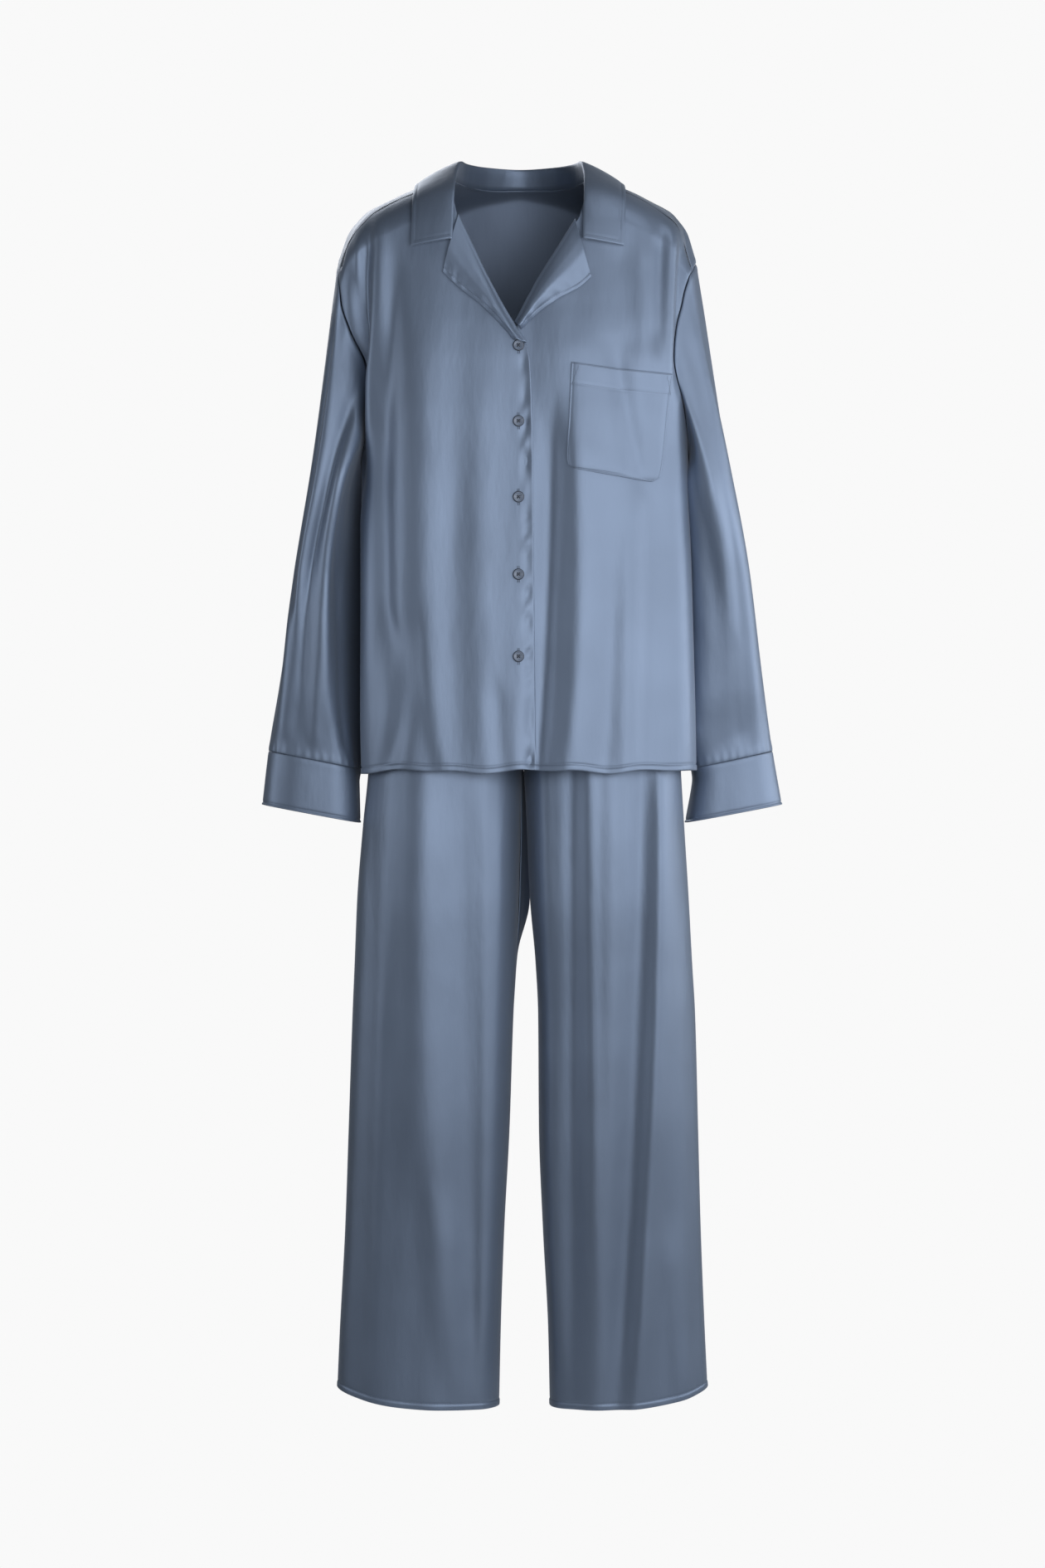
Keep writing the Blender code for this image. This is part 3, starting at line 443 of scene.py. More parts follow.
def cloth(name, grid, turn=1, wall=CLOTH, ring=False):
    """Thin wall whose outer face is this grid of points. turn is -1 where its columns run the other way."""
    rows, cols = grid.shape[:2]
    base = rows * cols
    outward = normals(grid, ring) * turn
    GRIDS[name] = grid, outward
    back = grid - outward * wall
    points = np.concatenate([grid.reshape(-1, 3), back.reshape(-1, 3)])
    a = np.arange(base).reshape(rows, cols)
    b = np.roll(a, -1, axis=1)
    left, right = a[:, 0], a[:, -1]
    if not ring:
        a, b = a[:, :-1], b[:, :-1]
    quads = np.stack([a[:-1], b[:-1], b[1:], a[1:]], -1).reshape(-1, 4)
    inner = quads[:, ::-1] + base
    borders = [(b[0], a[0]), (a[-1], b[-1])]
    if not ring:
        borders += [(left[:-1], left[1:]), (right[1:], right[:-1])]
    rims = np.concatenate([np.stack([p, q, q + base, p + base], -1) for p, q in borders])
    faces = np.concatenate([quads, inner, rims])
    if turn < 0:
        faces = faces[:, ::-1]
    mesh = make_mesh(f"{name}_cloth", points, faces)
    piece = finish(f"{name}_cloth", mesh, [SATIN, SATIN_BACK_PAINTED_LIGHTER], name)
    sides = np.concatenate([np.zeros(len(quads), int), np.ones(len(inner), int), np.zeros(len(rims), int)])
    mesh.polygons.foreach_set("material_index", sides)
    return piece


def dense(total, step, *zones):
    """Places from 0 to total about a step apart, and finer inside zones of (from, to, finer step)."""
    at, made = 0.0, [0.0]
    while at < total - 1e-6:
        here = min([fine for low, high, fine in zones if low - 1e-6 <= at < high - 1e-6] + [step])
        at = min(at + here, total)
        made.append(at)
    if made[-1] - made[-2] < 0.4 * step and len(made) > 2 and not any(h >= total for _, h, _ in zones):
        made.pop(-2)
    return np.array(made)


# ---- fronts and back of the shirt ----
def armhole(side, psi, inset=0.0):
    """Chart place on the armhole: 0 at the shoulder, 90 front, 180 underarm, 270 back. inset is in mm."""
    turn = np.radians(psi)
    reach = np.where(np.sin(turn) > 0, ARMHOLE_FRONT[side], ARMHOLE_BACK)
    middle, half = (ARMHOLE_TOP + UNDERARM) / 2, (ARMHOLE_TOP - UNDERARM) / 2
    reach = reach - inset * 0.3
    return np.stack([90 - reach * np.sin(turn), middle + (half - inset) * np.cos(turn)], -1)


def shoulder_seam(side, share):
    """From the neck to the armhole."""
    ends = armhole(side, np.array(SEAM_TURN))
    z = NECK_TOP + (ends[1] - NECK_TOP) * share
    phi = NECK_TURN + (ends[0] - NECK_TURN) * np.sin(np.radians(90 * share)) ** SEAM_BEND
    return np.stack([phi, z], -1)


# Rows of a body panel in steps: from the hem to the underarm, then up the armhole. The inner edge of a front
# turns into its roll line and into the neck on the way
SIDE_STEPS, ROLL_STEP, NECK_STEP, ALL_STEPS = 9, 13, 18, 21
HEM_ZONE = SIDE_STEPS * 12 / (UNDERARM - SHIRT_HEM)  # the lowest 12 mm
BODY_COLUMNS = 0.0135
BACK_STEPS, BACK_NECK_STEPS = 15, 4  # from the middle of the back to the armhole, and to the end of the neck


def body_rows():
    return dense(ALL_STEPS, 0.13, (0, HEM_ZONE, 0.028), (18.8, 20.99, 0.05))


def side_height(rows):
    return SHIRT_HEM + (UNDERARM - SHIRT_HEM) * rows / SIDE_STEPS


def outer_edge(side, rows, last):
    low = np.stack([np.full_like(rows, 90), side_height(rows)], -1)
    up = np.clip((rows - SIDE_STEPS) / (ALL_STEPS - SIDE_STEPS), 0, 1)
    return np.where((rows > SIDE_STEPS)[:, None], armhole(side, 180 + (last - 180) * up), low)


def front_chart(side, roll, edge, rows, cols):
    def share(low, high):
        return np.clip((rows - low) / (high - low), 0, 1)

    edge = np.array(edge, float)
    z = side_height(np.minimum(rows, SIDE_STEPS))
    lower = place(through(edge[:, 1], edge[:, 0], z), z)
    start = [(float(through(edge[:, 1], edge[:, 0], UNDERARM)), UNDERARM)]
    above = start + [point for point in edge[::-1].tolist() if point[1] > UNDERARM]
    upper = seen(along(above, share(SIDE_STEPS, ROLL_STEP)))
    rolled = seen(along(roll[::-1], share(ROLL_STEP, NECK_STEP)))
    neck = seen(along(NECKLINE[::-1], share(NECK_STEP, ALL_STEPS)))
    neck[-1] = shoulder_seam(side, np.array([0.0]))[0]
    upto = [(rows <= step)[:, None] for step in (SIDE_STEPS, ROLL_STEP, NECK_STEP)]
    inner = np.select(upto, [lower, upper, rolled], neck)
    bottom = np.stack([inner[0, 0] + (90 - inner[0, 0]) * cols, np.full_like(cols, SHIRT_HEM)], -1)
    outer, top = outer_edge(side, rows, SEAM_TURN), shoulder_seam(side, cols)
    return fill(inner, outer, bottom, top, rows / ALL_STEPS, cols)


def underlap(chart):
    """The under front lies back where the other one covers it, less and less up its roll line."""
    x = body_point(1, chart[..., 0], chart[..., 1])[..., 0]
    return -UNDERLAP_DROP * (1 - smoothstep(*UNDERLAP_BEND, x)) * smoothstep(-110, -150, chart[..., 1])


def hem_lift(distance, width=HEM_TURN):
    """A turned hem: a little thicker, with a groove along its stitching and a soft edge."""
    band = 0.6 * smoothstep(width + 0.9, width - 0.8, distance)
    groove = -0.8 * bell(distance, width, 1.1)
    return band + groove - 0.3 * smoothstep(0.8, 0.0, distance)


def seam_dip(distance, depth=0.55, wide=1.3):
    """Ditch of a seam with the soft ridge of the turnings beside it."""
    return depth * (0.5 * bell(distance, 5.5, 3) - 1.7 * bell(distance, 0, wide))


def grid_run(grid, axis, end):
    """Distance along the grid from one of its edges, at every point."""
    steps = np.linalg.norm(np.diff(grid, axis=axis), axis=-1)
    run = np.insert(np.cumsum(steps, axis=axis), 0, 0, axis=axis)
    return run if end == 0 else np.take(run, [-1], axis=axis) - run


def body_panel(side, chart, extra, seams, sewn=None):
    """The dressed panel: form, then its hem and the dips of its seams."""
    flat = shirt(side, chart, extra)
    lift = hem_lift(chart[..., 1] - SHIRT_HEM)
    for axis, end, depth in seams:
        lift = lift + seam_dip(grid_run(flat, axis, end), depth)
    if sewn is not None:
        line = shirt(side, seen(along(sewn, np.linspace(0, 1, 120))))
        near = np.min([np.linalg.norm(flat - point, axis=-1) for point in line], axis=0)
        lift = lift + seam_dip(near, 0.35, 3.0)
    grid = shirt(side, chart, extra + lift)
    sway = 1.7 * np.sin(grid[..., 0] / 23 + 0.6) + 1.2 * np.sin(grid[..., 0] / 11 + 2)
    grid[..., 2] += sway * smoothstep(SHIRT_HEM + 70, SHIRT_HEM, chart[..., 1])
    return grid


def placket(chart, edge_gap):
    """Edge-stitched border of a front, with uneven puckers that slant in from the edge."""
    z = chart[..., 1] + 0.5 * edge_gap
    pucker = np.sin(z / 7.1 + 2 * np.sin(z / 37)) * (0.3 + 0.7 * np.sin(z / 53 + 1) ** 2)
    pucker = pucker + 0.6 * np.sin(z / 3.9 + 2.6 * np.sin(z / 29)) * np.sin(z / 41 + 2) ** 2
    rolled = 0.9 * bell(edge_gap, 0, 3) + (1.5 * pucker - 0.7) * bell(edge_gap, 8, 4.5)
    return rolled * smoothstep(-175, -205, z)


def build_front(name, side, roll, edge, under):
    cols = dense(1, BODY_COLUMNS, (0, 0.075, 0.006), (0.975, 1, 0.006))
    chart = front_chart(side, roll, edge, body_rows(), cols)
    extra = underlap(chart) if under else placket(chart, grid_run(shirt(side, chart), 1, 0))
    grid = body_panel(side, chart, extra, ((1, 1, 0.6),), SHOULDER_SEAM)
    cloth(name, grid, side)


def back_chart(side, rows, cols):
    """Half of the back, from its middle."""
    step = cols * BACK_STEPS
    phi = 180 + (NECK_TURN - 180) * np.clip(step / BACK_NECK_STEPS, 0, 1)
    neck = np.stack([phi, NECK_TOP + NECK_RISE * np.sin(np.radians(phi - 90)).clip(0)], -1)
    seam = shoulder_seam(side, np.clip((step - BACK_NECK_STEPS) / (BACK_STEPS - BACK_NECK_STEPS), 0, 1))
    top = np.where((step <= BACK_NECK_STEPS)[:, None], neck, seam)
    middle = SHIRT_HEM + (NECK_TOP + NECK_RISE - SHIRT_HEM) * rows / ALL_STEPS
    inner = np.stack([np.full_like(rows, 180), middle], -1)
    bottom = np.stack([180 - 90 * cols, np.full_like(cols, SHIRT_HEM)], -1)
    outer = outer_edge(side, rows, 360 + SEAM_TURN)
    return fill(inner, outer, bottom, top, rows / ALL_STEPS, cols)


def build_back():
    rows, cols = body_rows(), dense(1, BODY_COLUMNS, (0.975, 1, 0.006))
    right, left = (body_panel(side, back_chart(side, rows, cols), 0.0, ((1, 1, 0.6),)) for side in (-1, 1))
    grid = np.concatenate([right[:, ::-1], left[:, 1:]], 1)
    cloth("shirt_back", grid, -1)


# ---- sleeves and cuffs ----
# Slack of each sleeve beside the body: degrees round, width in degrees, shares of the length between which it
# grows and dies away, mm outward, mm forward
SLEEVE_SLACK = {
    -1: ((150, 24, 0.10, 0.32, 0.90, 1.04, 4, 2), (124, 26, 0.01, 0.12, 0.25, 0.55, 0, 10),
         (206, 34, 0.01, 0.20, 0.93, 1.04, -13, -5)),
    1: ((150, 34, 0.06, 0.28, 0.90, 1.04, -14, 6), (206, 34, 0.01, 0.20, 0.93, 1.04, -8, -4)),
}  # fmt: skip
SLEEVE_SQUARENESS, SLEEVE_SQUARENESS_INSIDE = 2.3, 3.4
SLEEVE_COLUMNS = 168
SLEEVE_DEGREE, SLEEVE_LENGTH = 2.2, 480  # rough size in mm of one degree round, and of the whole length
# Piece, shares of the length it runs between, step, finer step at its end, wall in mm, flat size in m and
# area in square metres
SLEEVE_PIECES = (
    ("sleeve", 0.0006, 0.9996, 0.0078, 0.0030, CLOTH, (0.42, 0.56), 0.141),
    ("cuff", 1.0003, 1.1485, 0.0052, 0.0022, BAND, (0.30, 0.064), 0.0187),
)


def sleeve_rings(side, psi):
    """Shares of the length and rings of the sleeve without folds; the first follows the armhole."""
    turn = np.radians(psi)
    c, s = np.cos(turn), np.sin(turn)
    start = shirt(side, armhole(side, psi, 0.25))
    start[:, 0] += side * 0.1 * (1 - c) / 2
    rings, share = [start], [0.0]
    k = round_k(s, c, np.where(c < 0, SLEEVE_SQUARENESS_INSIDE, SLEEVE_SQUARENESS))
    pick = 0 if side < 0 else 1
    for row in SLEEVE:
        outer_x, inner_x, mid_y = row[3 + pick], row[5 + pick], row[7 + pick]
        y = -row[9] * s * k
        x = (outer_x + inner_x) / 2 + (outer_x - inner_x) / 2 * c * k - row[10] * y
        z = (row[1] + row[2]) / 2 + (row[1] - row[2]) / 2 * c * k
        rings.append(np.stack([side * x, mid_y + y, z], -1))
        share.append(row[0])
    return np.array(share), np.array(rings)


def sleeve_lift(side, at, psi):
    """Folds and ripple, held in at the armhole and, with fine pleats, where the cuff is sewn on."""
    turn = np.radians(psi)
    table = SLEEVE_RIGHT_FOLDS if side < 0 else SLEEVE_LEFT_FOLDS
    lift = folds(table, psi, at) + ripple(psi * SLEEVE_DEGREE, at * SLEEVE_LENGTH, 11 + side) * 0.8
    lift = lift * smoothstep(0.0, 0.09, at) * (1 - 0.75 * smoothstep(0.93, 1.0, at))
    pleat = np.cos(turn * 31 + 1.7 * np.sin(turn * 3)) * smoothstep(0.955, 0.995, at)
    return lift + 0.315 * pleat * (at < 1)


def build_sleeve(side, word):
    psi = np.linspace(0, 360, SLEEVE_COLUMNS, endpoint=False)
    share, rings = sleeve_rings(side, psi)
    for name, low, high, step, fine, wall, flat, area in SLEEVE_PIECES:
        at = low + dense(high - low, step, (0, 0.012, 0.0018), (high - low - 0.014, high - low, fine))
        base = through(share, rings, at)
        at, around = np.meshgrid(at, psi, indexing="ij")
        for centre, wide, begins, full, falls, over, sideways, forward in SLEEVE_SLACK[side]:
            hang = smoothstep(begins, full, at) * (1 - smoothstep(falls, over, at))
            bump = hang * bell(around, centre, wide)
            base[..., 0] += side * sideways * bump
            base[..., 1] -= forward * bump
        from_top, from_end = grid_run(base, 0, 0), grid_run(base, 0, 1)
        if name == "sleeve":
            sewn = seam_dip(from_top, 0.5) + seam_dip(from_end, 0.25)
        else:
            sewn = seam_dip(from_top, 0.25) + hem_lift(from_end, 3.0)
        lift = sleeve_lift(side, at, around) + sewn
        grid = base + normals(base, True) * (lift * side)[..., None]
        cloth(f"{name}_{word}", grid, side, wall, True)


# ---- collar, lapels, pocket ----
def collar_half(side):
    """Rows of one half, from the neck seam over the fold to the outer edge, each running to centre back."""
    table = np.array(COLLAR, float)
    run = np.arange(len(table) + 1) / (len(table) - 1)
    at = np.linspace(0, 1, 82)
    neck = shirt(side, place(table[:, 0], table[:, 1], table[:, 2]), table[:, 9])
    edge_place = place(table[:, 6], table[:, 7], table[:, 8])
    edge = shirt(side, edge_place, table[:, 10])
    edge_normal = body_normal(side, *edge_place.T)
    fold = table[:, 3:6] * (side, 1, 1)
    fold[:, 0] += column(BODY, 5, fold[:, 2])
    # a mirrored row past centre back keeps the curves level there
    ways = [np.concatenate([v, v[-2:-1] * (-1, 1, 1)]) for v in (neck, edge, fold, edge_normal)]
    neck, edge, fold, edge_normal = (through(run, way, at) for way in ways)
    outward = unit((edge - fold) * (1, 1, 0))
    rise = unit(fold - neck)
    tall = np.linalg.norm(fold - neck, axis=1, keepdims=True)
    crown = fold - rise * np.minimum(3.0, 0.4 * tall) - outward * 0.6
    rows = [neck, neck + (crown - neck) * 0.33, neck + (crown - neck) * 0.7, crown]
    rows += [fold - rise * 0.9, fold - rise * 0.2 + outward * 0.8]
    for t in np.concatenate([[0.03, 0.07], dense(1, 0.045, (0.86, 1.0, 0.014))[3:]]):
        ease = 2.6 * (4 * t * (1 - t)) ** 0.8
        rows.append(fold + outward * 1.5 * (1 - t) + (edge - fold) * t + edge_normal * ease)
    return np.array(rows)


def build_collar():
    right, left = collar_half(-1), collar_half(1)
    grid = np.concatenate([right, left[:, -2::-1]], 1)
    ends = np.minimum(grid_run(grid, 1, 0), grid_run(grid, 1, 1))
    border = np.minimum(grid_run(grid, 0, 1), ends)
    lift = -0.5 * bell(border, EDGE_SEWN, 0.9) - 0.3 * smoothstep(1.0, 0, border)
    lift = lift * smoothstep(0.0, 0.25, np.linspace(0, 1, len(grid)))[:, None]
    grid = grid + normals(grid) * lift[..., None]
    cloth("collar", grid, 1, BAND)


def build_lapel(name, side, roll, outer):
    steps = dense(1, 0.014)
    line, rim = along(roll[::-1], steps), along(outer, steps)
    inward = np.array(LAPEL_TURN)
    turned = through(np.arange(len(inward)), inward, np.linspace(0, len(inward) - 1, 19))[:-1]
    shares = dense(1, 0.034, (0, 0.12, 0.016), (0.88, 1, 0.012))
    across = rim - line
    wide = np.linalg.norm(across, axis=1, keepdims=True)
    inner = line[:, None] + (across / wide)[:, None] * turned[None, :, :1]
    outward = line[:, None] + across[:, None] * shares[None, :, None]
    flat = np.concatenate([inner, outward], 1)
    lift = np.array(LAPEL_LIFT)
    lift = np.concatenate([turned[:, 1], through(lift[:, 0], lift[:, 1], shares)])
    chart = place(flat[..., 0], flat[..., 1])
    drop = underlap(chart) if side > 0 else 0
    grid = shirt(side, chart, np.broadcast_to(lift, flat.shape[:2]) + drop)
    border = grid_run(grid, 1, 1)
    down = steps[:, None] * 150  # about the length of the roll in mm
    rippled = np.sin(down / 4.1 + 1.3 * np.sin(down / 19)) * (0.35 + 0.65 * np.sin(down / 23 + side) ** 2)
    relief = -0.45 * bell(border, EDGE_SEWN, 0.9) - 0.25 * smoothstep(1, 0, border)
    relief = relief + 0.55 * rippled * bell(border, 7, 7)
    grid = grid + normals(grid) * (side * relief)[..., None]
    cloth(name, grid, side)


# Pocket: share of its height, height inside and outside, x inside and outside
POCKET = (
    (0.00, -322, -336, 57, 147),
    (0.05, -318, -331, 51, 155),
    (0.14, -308, -317, 49.5, 158),
    (0.50, -262, -271, 52, 162),
    (1.00, -203, -214, 55, 167),
)
POCKET_SAG = 1.6
POCKET_BAND = 23.0  # depth of the band at its opening


def pocket_chart(up, across):
    inside, outside, low_x, high_x = (column(POCKET, k, up) for k in (1, 2, 3, 4))
    z = inside + (outside - inside) * across
    z = z - POCKET_SAG * np.sin(np.pi * across) * (smoothstep(0.6, 1.0, up) + 0.5 * smoothstep(0.3, 0.0, up))
    x = low_x + (high_x - low_x) * across
    return place(x - column(BODY, 5, z), z)


def build_pocket():
    up = dense(1, 0.017, (0.0, 0.05, 0.009), (0.94, 1.0, 0.009))
    across = dense(1, 0.017, (0, 0.03, 0.008), (0.97, 1, 0.008))
    up, across = np.meshgrid(up, across, indexing="ij")
    chart = pocket_chart(up, across)
    flat = shirt(1, chart)
    side_gap = np.minimum(grid_run(flat, 1, 0), grid_run(flat, 1, 1))
    gap = np.minimum(side_gap, grid_run(flat, 0, 0))
    top = grid_run(flat, 0, 1)
    lift = 0.9 + CLOTH + 0.5 * smoothstep(2, 10, gap)
    lift = lift + 1.6 * smoothstep(24, 0, top) * np.sin(np.pi * across) ** 2
    lift = lift - 0.5 * bell(gap, POCKET_SEWN, 0.8) - 0.6 * bell(top, POCKET_BAND, 0.9)
    lift = lift + 0.3 * smoothstep(POCKET_BAND + 0.5, POCKET_BAND - 0.6, top)
    cloth("pocket", shirt(1, chart, lift), 1, 0.6)


# ---- trousers ----
# Slack of the back of the legs below the crotch: height, how far it sways outward at the inside leg
SLACK_RIGHT = ((-1000, 0), (-892, 0), (-868, -4), (-812, -17), (-760, -17), (-690, -11), (-640, 0))
SLACK_LEFT = ((-1000, 0), (-890, 3), (-812, 9), (-760, 9), (-690, 6), (-640, 0))


def trouser_point(side, share, z, front):
    """share runs from the centre or inside leg, 0, to the outside seam, 1."""
    turn = np.radians(90 * share)
    s, c = np.sin(turn), np.cos(turn)
    k = round_k(s, c, HIP_SQUARENESS)
    deep = column(HIPS, 2 if front else 3, z)
    hip = np.stack([side * column(HIPS, 4, z) + column(HIPS, 1, z) * s * k, deep * c * k], -1)
    turn = np.radians(180 * share - 90)
    s, c = np.sin(turn), np.cos(turn)
    k = round_k(s, c, LEG_SQUARENESS)
    pick = 0 if side < 0 else 2
    outer, inner = column(LEG, 1 + pick, z), column(LEG, 2 + pick, z)
    deep = column(LEG, 5 if front else 6, z)
    leg = np.stack([(outer + inner) / 2 + (outer - inner) / 2 * s * k, deep * c * k], -1)
    part = smoothstep(HIP_END, CROTCH, z)[..., None]
    flat = hip * (1 - part) + leg * part
    x = np.maximum(flat[..., 0], 0.3)
    if not front:
        slack = SLACK_RIGHT if side < 0 else SLACK_LEFT
        x = x + column(slack, 1, z) * bell(share, 0.13, 0.09)
    y = flat[..., 1] * (-1 if front else 1) + LEG_SET_BACK * part[..., 0]
    lift = folds(LEG_FRONT_FOLDS if front else LEG_BACK_FOLDS, side * x, z)
    lift = lift + ripple(side * x, z, 21 if front else 22)
    lift = lift * smoothstep(0.0, 0.15, share) * smoothstep(0.995, 0.85, share)
    y = y + lift * (-1 if front else 1)
    return np.stack([side * x, y, z + 0 * x], -1)


HEM_INSIDE, HEM_OUTSIDE = -1387.0, -1366.0  # of a trouser leg


def build_trouser(name, side, front):
    share = 0.001 + 0.998 * dense(1, 0.016, (0, 0.02, 0.007), (0.98, 1, 0.007))
    down = dense(1, 0.006, (0.986, 2, 0.0013))
    down, share = np.meshgrid(down[::-1], share, indexing="ij")
    turn = np.radians(180 * share - 90)
    across = 0.5 + 0.5 * np.sin(turn) * round_k(np.sin(turn), np.cos(turn), LEG_SQUARENESS)
    hem = HEM_INSIDE + (HEM_OUTSIDE - HEM_INSIDE) * across**3.7
    z = WAIST_SEAM + (hem - WAIST_SEAM) * down
    grid = trouser_point(side, share, z, front)
    lift = hem_lift(z - hem)
    for end in (0, 1):
        lift = lift + seam_dip(grid_run(grid, 1, end), 0.55)
    turn = side if front else -side
    grid = grid + normals(grid) * (lift * turn)[..., None]
    cloth(name, grid, turn)


def build_waistband():
    turn = np.radians(np.linspace(0, 360, 240, endpoint=False))
    s, c = np.sin(turn), np.cos(turn)
    k = round_k(s, c, HIP_SQUARENESS)
    rows = []
    for z in np.linspace(WAIST_SEAM + 0.5, WAIST_TOP, 26):
        up = (z - WAIST_SEAM) / (WAIST_TOP - WAIST_SEAM)
        gather = 0.55 * np.sin(turn * 74 + 2 * np.sin(turn * 5)) * np.sin(np.pi * up) ** 0.4
        wide = column(HIPS, 1, z) + gather
        deep = np.where(c > 0, column(HIPS, 2, z), column(HIPS, 3, z)) + gather
        rows.append(np.stack([column(HIPS, 4, z) + wide * s * k, -deep * c * k, 0 * s + z], -1))
    cloth("waistband", np.array(rows), 1, BAND, True)


# ---- buttons ----
def button_seat(height):
    chart = place(np.array(-BUTTON_X + column(BODY, 5, height)), height)
    out = unit(body_normal(-1, *chart))
    up = unit(np.array([0, 0, 1.0]) - out * out[2])
    return shirt(-1, chart, 0.55), np.cross(up, out), up, out


# Half outline of a button: radius, height off its seat
BUTTON_PROFILE = (
    (1, 0), (5.3, 0), (6, 0.3), (6.4, 0.8), (6.4, 1.3), (6, 1.9), (5.4, 2.4), (4.9, 2.45), (4.5, 2.2),
    (4.1, 1.8), (3.6, 1.65), (2.8, 1.6),
)  # fmt: skip
HOLE_AT, HOLE_R = 1.25, 0.7  # of the four holes, from the middle along each axis, and radius
BUTTON_SIDES, HOLE_SIDES = 48, 24
BUTTON_SHADE_BANDS = 6  # bands of the profile, from the back, painted darker as the shade round the button's rim


def button_quarter(q, level, base):
    """Points and faces of a quarter: a hole's short tube, and fans from its rim to the outline."""
    start, stop = q * np.pi / 2, (q + 1) * np.pi / 2
    mid = np.pi / 4 + q * np.pi / 2
    centre = HOLE_AT * np.sqrt(2) * np.array([np.cos(mid), np.sin(mid)])
    angles = np.linspace(0, 2 * np.pi, HOLE_SIDES, endpoint=False) + mid
    x, z = centre[0] + HOLE_R * np.cos(angles), centre[1] + HOLE_R * np.sin(angles)
    hole = np.stack([x, 0 * angles + level, z], -1)
    low = hole * (1, 0, 1) + (0, 0.1, 0)
    n = np.arange(HOLE_SIDES)
    m = np.roll(n, -1)
    tube = base + np.stack([n, m, HOLE_SIDES + m, HOLE_SIDES + n], -1)
    # the outline: out along one axis, round the last ring, back along the other
    ring = BUTTON_PROFILE[-1][0]
    half = ring / 2
    outline = [(0.0, 0.0), (half * np.cos(start), half * np.sin(start))]
    outline += [(ring * np.cos(t), ring * np.sin(t)) for t in np.linspace(start, stop, BUTTON_SIDES // 4 + 1)]
    outline += [(half * np.cos(stop), half * np.sin(stop))]
    outline = np.array(outline)
    around = np.arctan2(outline[:, 1] - centre[1], outline[:, 0] - centre[0])
    order = np.argsort((around - mid) % (2 * np.pi))
    outline = outline[order]
    border = np.stack([outline[:, 0], np.full(len(outline), level), outline[:, 1]], -1)
    apart = np.abs(((around[order][:, None] - angles[None] + np.pi) % (2 * np.pi)) - np.pi)
    nearest = np.argmin(apart, 1)
    at = base + 2 * HOLE_SIDES
    fans = []
    for i in range(len(outline)):
        j = (i + 1) % len(outline)
        h = nearest[i]
        last = nearest[j] if j else nearest[0] + HOLE_SIDES
        fans.append((at + i, at + j, base + h % HOLE_SIDES, base + h % HOLE_SIDES))
        while h < last:
            here, after = base + h % HOLE_SIDES, base + (h + 1) % HOLE_SIDES
            fans.append((at + j, after, here, here))
            h += 1
    return [hole, low, border], [tube, np.array(fans)]


def build_button(number, height):
    """Turned disc: a rolled rim round a dished middle with four holes, each a short tube down to the back."""
    turn = np.linspace(0, 2 * np.pi, BUTTON_SIDES, endpoint=False)
    points = [np.stack([r * np.cos(turn), 0 * turn + y, r * np.sin(turn)], -1) for r, y in BUTTON_PROFILE]
    ring = np.arange(BUTTON_SIDES)
    after = np.roll(ring, -1)
    band = np.stack([ring, after, BUTTON_SIDES + after, BUTTON_SIDES + ring], -1)
    faces = [band + k * BUTTON_SIDES for k in range(len(BUTTON_PROFILE) - 1)]
    for q in range(4):
        quarter, cells = button_quarter(q, BUTTON_PROFILE[-1][1], sum(map(len, points)))
        points += quarter
        faces += cells
    points = np.concatenate(points)
    seat, right, up, out = button_seat(height)
    world = seat + points[:, :1] * right + points[:, 1:2] * out + points[:, 2:] * up
    # a cell that names one point twice is a triangle
    clean = [tuple(dict.fromkeys(face)) for face in np.concatenate(faces).tolist()]
    mesh = bpy.data.meshes.new(f"button_{number}")
    mesh.from_pydata((world * MM).tolist(), [], [face for face in clean if len(face) > 2])
    mesh.shade_smooth()
    finish(f"button_{number}_turned", mesh, [PLASTIC, PLASTIC_PAINTED_SHADE], f"button_{number}")
    # Painted shade: the rim's back bands take the darker material.
    dark = BUTTON_SHADE_BANDS * BUTTON_SIDES
    mesh.polygons.foreach_set("material_index", [int(k < dark) for k in range(len(mesh.polygons))])


# ---- sewing ----
THREAD_R = 0.16
STITCH = 2.3
STITCH_STEP = 3.0
THREAD_SIDES = 6


def inset(name, axis, end, distance, low=0, high=None):
    """Line on a finished piece at a set distance from one of its edges, with the normals there."""
    grid, normal = GRIDS[name]
    run = grid_run(grid, axis, end)
    grid, normal, run = (v if axis == 1 else v.swapaxes(0, 1) for v in (grid, normal, run))
    if end == 1:
        grid, normal, run = grid[:, ::-1], normal[:, ::-1], run[:, ::-1]
    points, ups = [], []
    for row in range(len(grid))[low:high]:
        at = float(np.interp(distance, run[row], np.arange(len(run[row]))))
        i = min(int(at), len(run[row]) - 2)
        points.append(grid[row, i] + (grid[row, i + 1] - grid[row, i]) * (at - i))
        ups.append(normal[row, i])
    return np.array(points), np.array(ups)


def at_shares(run, values, at):
    return np.stack([np.interp(at, run, values[:, k]) for k in range(3)], 1)


